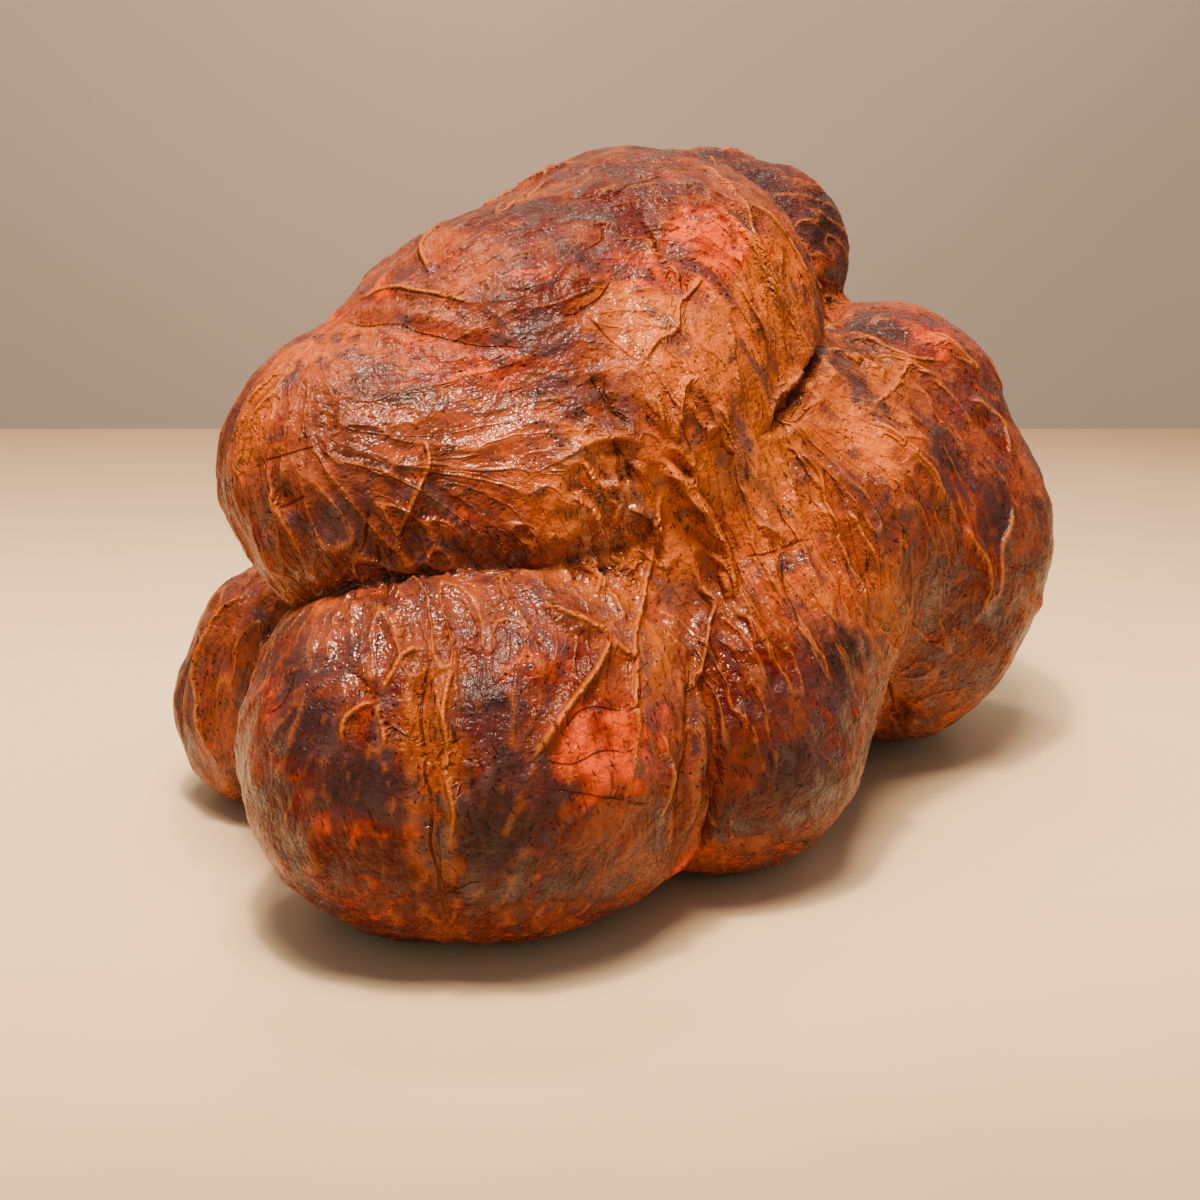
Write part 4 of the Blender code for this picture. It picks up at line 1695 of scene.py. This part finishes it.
@dataclass
class Morcon:
    """The whole sausage: its form, its folds, its stains and its finish. Lengths are in mm."""

    form: FilledForm = field(default_factory=FilledForm)
    tightening: Tightening = field(default_factory=Tightening)
    wanderers: Wanderers = field(default_factory=Wanderers)
    scatter: Scatter = field(default_factory=Scatter)
    grain: Grain = field(default_factory=Grain)
    pleating: Pleating = field(default_factory=Pleating)
    casing: CuredCasing = field(default_factory=CuredCasing)
    calm_rounds: int = 2
    restless_wave: float = 7
    restless_reach: float = 0.9
    ragged_wave: float = 9
    ragged_reach: float = 5
    broad_wave: float = 26
    mottle_wave: float = 8
    streak_wave: float = 3
    streak_reach: float = 10
    loose_wave: float = 7
    loose_reach: float = 1.5
    tight_rounds: int = 8
    tight_hollow: float = 1.2
    table_rise: float = 4
    line_span: float = 8
    strand_span: float = 4
    broad_contrast: float = 0.55
    mottle_contrast: float = 0.6
    streak_contrast: float = 0.2
    hollow_bend: float = 3
    crest_gain: float = 1.3
    steep_from: float = 0.45
    steep_over: float = 0.3
    restless_seed: int = 71
    ragged_seed: int = 81
    broad_seed: int = 83
    mottle_seed: int = 84
    streak_seed: int = 86
    loose_seed: int = 91
    # How a point lies to its neighbourhood: (rounds of smoothing, weight) for each size of it.
    bends: tuple[tuple[int, float], ...] = ((2, 3.2), (8, 0.9), (30, 0.2))

    def make(self) -> bpy.types.Object:
        """Builds the skin, its folds and its attributes, and dresses it.

        Returns:
            The sausage's object, at the origin, in metres.
        """
        cells = self.tightening.fine_cells
        grid, base = self.tightening.tighten(self.form, cells)
        LOG.info("skin drawn tight: %d squares", len(grid.quads))
        for pinch in PINCHES:
            base = pinch.applied(base, self.form)
        normals = grid.smoothed(grid.normals(base), self.calm_rounds)
        headings = self.grain.headings(base, normals)
        gathered = self.pleating.gathered(base)
        broad, fine = self.pleating.strands(base, headings, self.grain)
        pleats = self.pleating.relief(gathered, broad, fine)
        points, lines = self._folded(grid, base, normals, pleats)
        patterns = self._patterns(grid, base, points, headings) | {
            "line": lines.across / self.line_span + 0.5,
            "line_ridge": lines.ridge,
            "line_crack": lines.crack,
            "broad_strand": broad / self.strand_span + 0.5,
            "fine_strand": fine / self.strand_span + 0.5,
            "gathered": gathered,
        }
        skin = self._object(grid, points)
        loose = swirled(base, self.loose_wave, self.loose_reach, self.loose_seed)
        self._store(skin.data, patterns, loose)
        skin.data.materials.append(self.casing.material())
        return skin

    def _folded(
        self, grid: CubeGrid, base: Array, normals: Array, pleats: Array
    ) -> tuple[Array, Lines]:
        """Raises every fold, pleat and crumple on the skin.

        Each height is measured along the skin's normal. It fades out in the tight creases, where
        the two walls would meet, and close above the table.

        Args:
            grid: The grid.
            base: Its points on the plain form, in mm.
            normals: The way out of the skin at each, calmed.
            pleats: How high the pleats stand at each, in mm.

        Returns:
            The points with the folds raised, and the folds' lines.
        """
        reliefs = [*FOLDS.values(), *self.wanderers.folds(base, normals, self.form)]
        reliefs += [*FANS, *CRUMPLES, *SWELLS]
        restless = swirled(base, self.restless_wave, self.restless_reach, self.restless_seed)
        height = pleats.copy()
        lines = Lines.none(len(base))
        for relief in reliefs:
            moved, by, *line = relief.relief(restless, self.form)
            height[moved] += by
            if line:
                lines.add(relief, moved, *line)
        tightness = dot(grid.smoothed(base, self.tight_rounds) - base, normals)
        height /= 1 + (np.maximum(tightness, 0) / self.tight_hollow) ** 2
        height *= ease(base[:, 2] / self.table_rise)
        LOG.info("folds raised: %d, from %.2f to %.2f mm", len(reliefs), height.min(), height.max())
        return base + height[:, None] * unit(normals), lines

    def _patterns(
        self, grid: CubeGrid, base: Array, points: Array, headings: Array
    ) -> dict[str, Array]:
        """Draws the stains, the unevenness of the tone, the hollows and crests that place painted shade and
        painted sheen, and the lie of the grain.

        Args:
            grid: The grid.
            base: The points before the folds were raised, in mm.
            points: The points with the folds, in mm.
            headings: The lay of the grain at each.

        Returns:
            The patterns by name, with a number for each point.
        """
        wave, reach, seed = self.ragged_wave, self.ragged_reach, self.ragged_seed
        ragged = swirled(swirled(base, wave, reach, seed), wave / 3, reach / 4, seed + 1)
        patterns = {stain.value: np.zeros(len(base)) for stain in Stain}
        for blotch in (*known_blotches(), *self.scatter.blotches(base)):
            stain = blotch.stain.value
            patterns[stain] = np.maximum(patterns[stain], blotch.cover(ragged))
        normals = grid.normals(points)
        bend = sum(
            weight * dot(grid.smoothed(points, rounds) - points, normals)
            for rounds, weight in self.bends
        )
        along = (headings, self.streak_wave, self.streak_reach, self.streak_seed)
        streaks = self.grain.combed(ragged, *along)
        broad = layered(ragged / self.broad_wave, self.broad_seed)
        mottle = layered(ragged / self.mottle_wave, self.mottle_seed)
        LOG.info("stains and wet places marked")
        return patterns | {
            "broad": 0.5 + self.broad_contrast * broad,
            "mottle": 0.5 + self.mottle_contrast * mottle,
            "streak": 0.5 + self.streak_contrast * streaks,
            # where the skin bends inwards: the mask of the painted crease shade and glow
            "hollow": bend / self.hollow_bend,
            # where it bends outwards: the mask of the paler crests and their painted sheen
            "crest_pale_and_sheen": -self.crest_gain * bend,
            "down_lay": ease((np.abs(headings[:, 2]) - self.steep_from) / self.steep_over),
        }

    def _object(self, grid: CubeGrid, points: Array) -> bpy.types.Object:
        """The closed mesh of the skin, shaded smooth.

        Args:
            grid: The grid.
            points: Its points, in mm.

        Returns:
            The object, linked to the scene.
        """
        mesh = bpy.data.meshes.new("morcon_casing")
        mesh.vertices.add(len(points))
        mesh.vertices.foreach_set("co", (points * MM).ravel())
        mesh.loops.add(grid.quads.size)
        mesh.loops.foreach_set("vertex_index", grid.quads.ravel().astype(np.int32))
        mesh.polygons.add(len(grid.quads))
        mesh.polygons.foreach_set("loop_start", np.arange(0, grid.quads.size, 4, dtype=np.int32))
        mesh.update(calc_edges=True)
        mesh.shade_smooth()
        skin = bpy.data.objects.new("morcon_casing", mesh)
        bpy.context.scene.collection.objects.link(skin)
        return skin

    def _store(self, mesh: bpy.types.Mesh, patterns: dict[str, Array], loose: Array) -> None:
        """Writes the patterns to the mesh's points, three to a colour, and the loose places.

        Args:
            mesh: The skin's mesh.
            patterns: The patterns by name, which are cut off at 0 and 1.
            loose: Each point, pushed about a little, in mm.
        """
        for name, channels in STORED.items():
            rows = [patterns[channel] for channel in channels]
            colours = np.clip(np.stack([*rows, np.ones(len(loose))], axis=1), 0, 1)
            layer = mesh.attributes.new(name, "FLOAT_COLOR", "POINT")
            layer.data.foreach_set("color", colours.astype(np.float32).ravel())
        layer = mesh.attributes.new(LOOSE, "FLOAT_VECTOR", "POINT")
        layer.data.foreach_set("vector", loose.astype(np.float32).ravel())


# ---- Table, light and camera ----


@dataclass(frozen=True)
class SoftBox:
    """One soft studio light: where it hangs, where it points, its size and its power. Metres."""

    name: str
    place: Point
    target: Point
    width: float
    depth: float
    power: float
    colour: str = "#ffd9b8"

    def hang(self) -> None:
        """Puts the light in the scene; the camera doesn't see it."""
        light = bpy.data.lights.new(self.name, "AREA")
        light.shape = "RECTANGLE"
        light.size, light.size_y = self.width, self.depth
        light.energy = self.power
        light.color = linear(self.colour)[:3]
        lamp = bpy.data.objects.new(self.name, light)
        lamp.location = self.place
        aim = Vector(np.subtract(self.target, self.place))
        lamp.rotation_euler = aim.to_track_quat("-Z", "Y").to_euler()
        lamp.visible_camera = False
        bpy.context.scene.collection.objects.link(lamp)


@dataclass(frozen=True)
class Paper:
    """Matt studio paper: softly mottled, with a pool of light painted into its colour, darker away from the
    pool's middle. Metres.
    """

    name: str
    light: str
    dark: str
    middle: Point
    squash: Point
    near: float
    far: float
    mottle: float = 0.03
    wave: float = 0.05
    roughness: float = 0.85
    specular: float = 0.2

    def material(self) -> bpy.types.Material:
        """Builds the paper's material: two tones, by the distance from the painted pool of light's middle.

        Returns:
            The material.
        """
        wiring = Wiring(f"{self.name}_paper")
        place = wiring.add("TexCoord", {}, "Object")
        away = wiring.vector("SUBTRACT", {0: place, 1: self.middle})
        away = wiring.vector("MULTIPLY", {0: away, 1: self.squash})
        away = wiring.vector("LENGTH", {0: away}, "Value")
        clouds = {"Vector": place, "Scale": 1 / self.wave, "Detail": 6.0}
        cloud = wiring.add("TexNoise", clouds, "Fac")
        mottled = wiring.math("MULTIPLY_ADD", cloud, self.mottle, away)
        near, far = (distance + self.mottle / 2 for distance in (self.near, self.far))
        cover = wiring.add("MapRange", {"Value": mottled, "From Min": near, "From Max": far})
        colour = wiring.over(cover, linear(self.light), linear(self.dark))
        return wiring.finished(
            {
                "Base Color": colour,
                "Roughness": self.roughness,
                "Specular IOR Level": self.specular,
            }
        )


@dataclass(frozen=True)
class Studio:
    """A plain pale table top, a backdrop behind it and soft light. Metres."""

    # both sheets carry a painted pool of light: lighter round its middle, darker away from it
    table_paper: Paper = Paper(
        "table", "#e4d2ab", "#7e6c56", (-0.06, 0, 0), (0.35, 1, 0), near=0.07, far=0.25
    )
    backdrop_paper: Paper = Paper(
        "backdrop", "#d2bca6", "#b4a492", (-0.1, 1.3, -0.08), (1, 0, 1), 0.05, 0.5, 0.12, 0.2
    )
    world_colour: str = "#dcdcde"
    world_strength: float = 0.36
    table_half_width: float = 1.6
    table_front: float = -1.6
    table_back: float = 0.235
    backdrop_half_width: float = 2.5
    backdrop_place: float = 1.3
    backdrop_height: float = 1.6
    target: Point = (-0.005, -0.017, 0.0496)
    distance: float = 0.549
    elevation: float = 22.0
    lens: float = 85.0
    lights: tuple[SoftBox, ...] = (
        SoftBox("overhead", (-0.02, -0.18, 0.93), (0, 0, 0.05), 0.4, 0.3, 16.5),
        SoftBox("spark", (-0.08, -0.16, 0.93), (0, 0, 0.06), 0.08, 0.08, 9.0),
        SoftBox("back_spark", (-0.08, 0.4, 0.85), (0, 0, 0.06), 0.1, 0.1, 3.0),
        SoftBox("front_fill", (-0.5, -1.3, 0.45), (0, 0, 0.06), 1.0, 0.6, 1.0, "#ffe6d0"),
        SoftBox("backdrop_wash", (0.0, 0.5, 0.9), (0, 1.3, 0.1), 1.6, 0.3, 14.5, "#fff0e2"),
    )

    def build(self) -> None:
        """Lays the table, hangs the backdrop and the lights, and sets the camera."""
        half, wide = self.table_half_width, self.backdrop_half_width
        back, top = self.backdrop_place, self.backdrop_height
        front_edge, back_edge = (-half, self.table_front, 0), (half, self.table_back, 0)
        self._sheet("table", front_edge, back_edge, self.table_paper)
        self._sheet("backdrop", (-wide, back, -top), (wide, back, top), self.backdrop_paper)
        for light in self.lights:
            light.hang()
        world = bpy.data.worlds.new("studio")
        world.use_nodes = True
        surround = world.node_tree.nodes["Background"]
        surround.inputs["Color"].default_value = linear(self.world_colour)
        surround.inputs["Strength"].default_value = self.world_strength
        bpy.context.scene.world = world
        self._camera()

    def _sheet(self, name: str, first: Point, last: Point, paper: Paper) -> None:
        """A flat matt sheet, level along X, that isn't part of the object.

        Args:
            name: Its name.
            first: Its left corner on one side, in metres.
            last: Its right corner on the other side.
            paper: Its finish.
        """
        near_side = ((first[0], *first[1:]), (last[0], *first[1:]))
        far_side = ((last[0], *last[1:]), (first[0], *last[1:]))
        mesh = bpy.data.meshes.new(name)
        mesh.from_pydata((*near_side, *far_side), [], [(0, 1, 2, 3)])
        mesh.materials.append(paper.material())
        sheet = bpy.data.objects.new(name, mesh)
        bpy.context.scene.collection.objects.link(sheet)

    def _camera(self) -> None:
        """Sets the camera: level with the horizon, looking down at the folded front."""
        lens = bpy.data.cameras.new("camera")
        lens.lens = self.lens
        camera = bpy.data.objects.new("camera", lens)
        tilt = math.radians(self.elevation)
        back = Vector((0, -math.cos(tilt), math.sin(tilt)))
        camera.location = Vector(self.target) + back * self.distance
        camera.rotation_euler = (-back).to_track_quat("-Z", "Y").to_euler()
        bpy.context.scene.collection.objects.link(camera)
        bpy.context.scene.camera = camera


def main() -> None:
    """Builds the sausage and the studio."""
    logging.basicConfig(level=logging.INFO, format="%(name)s: %(message)s")
    skin = Morcon().make()
    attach(skin, BODY)
    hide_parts(NODE)
    LOG.info("casing dressed: %d points", len(skin.data.vertices))
    Studio().build()
    LOG.info("table, backdrop, lights and camera set")


if __name__ == "__main__":
    main()
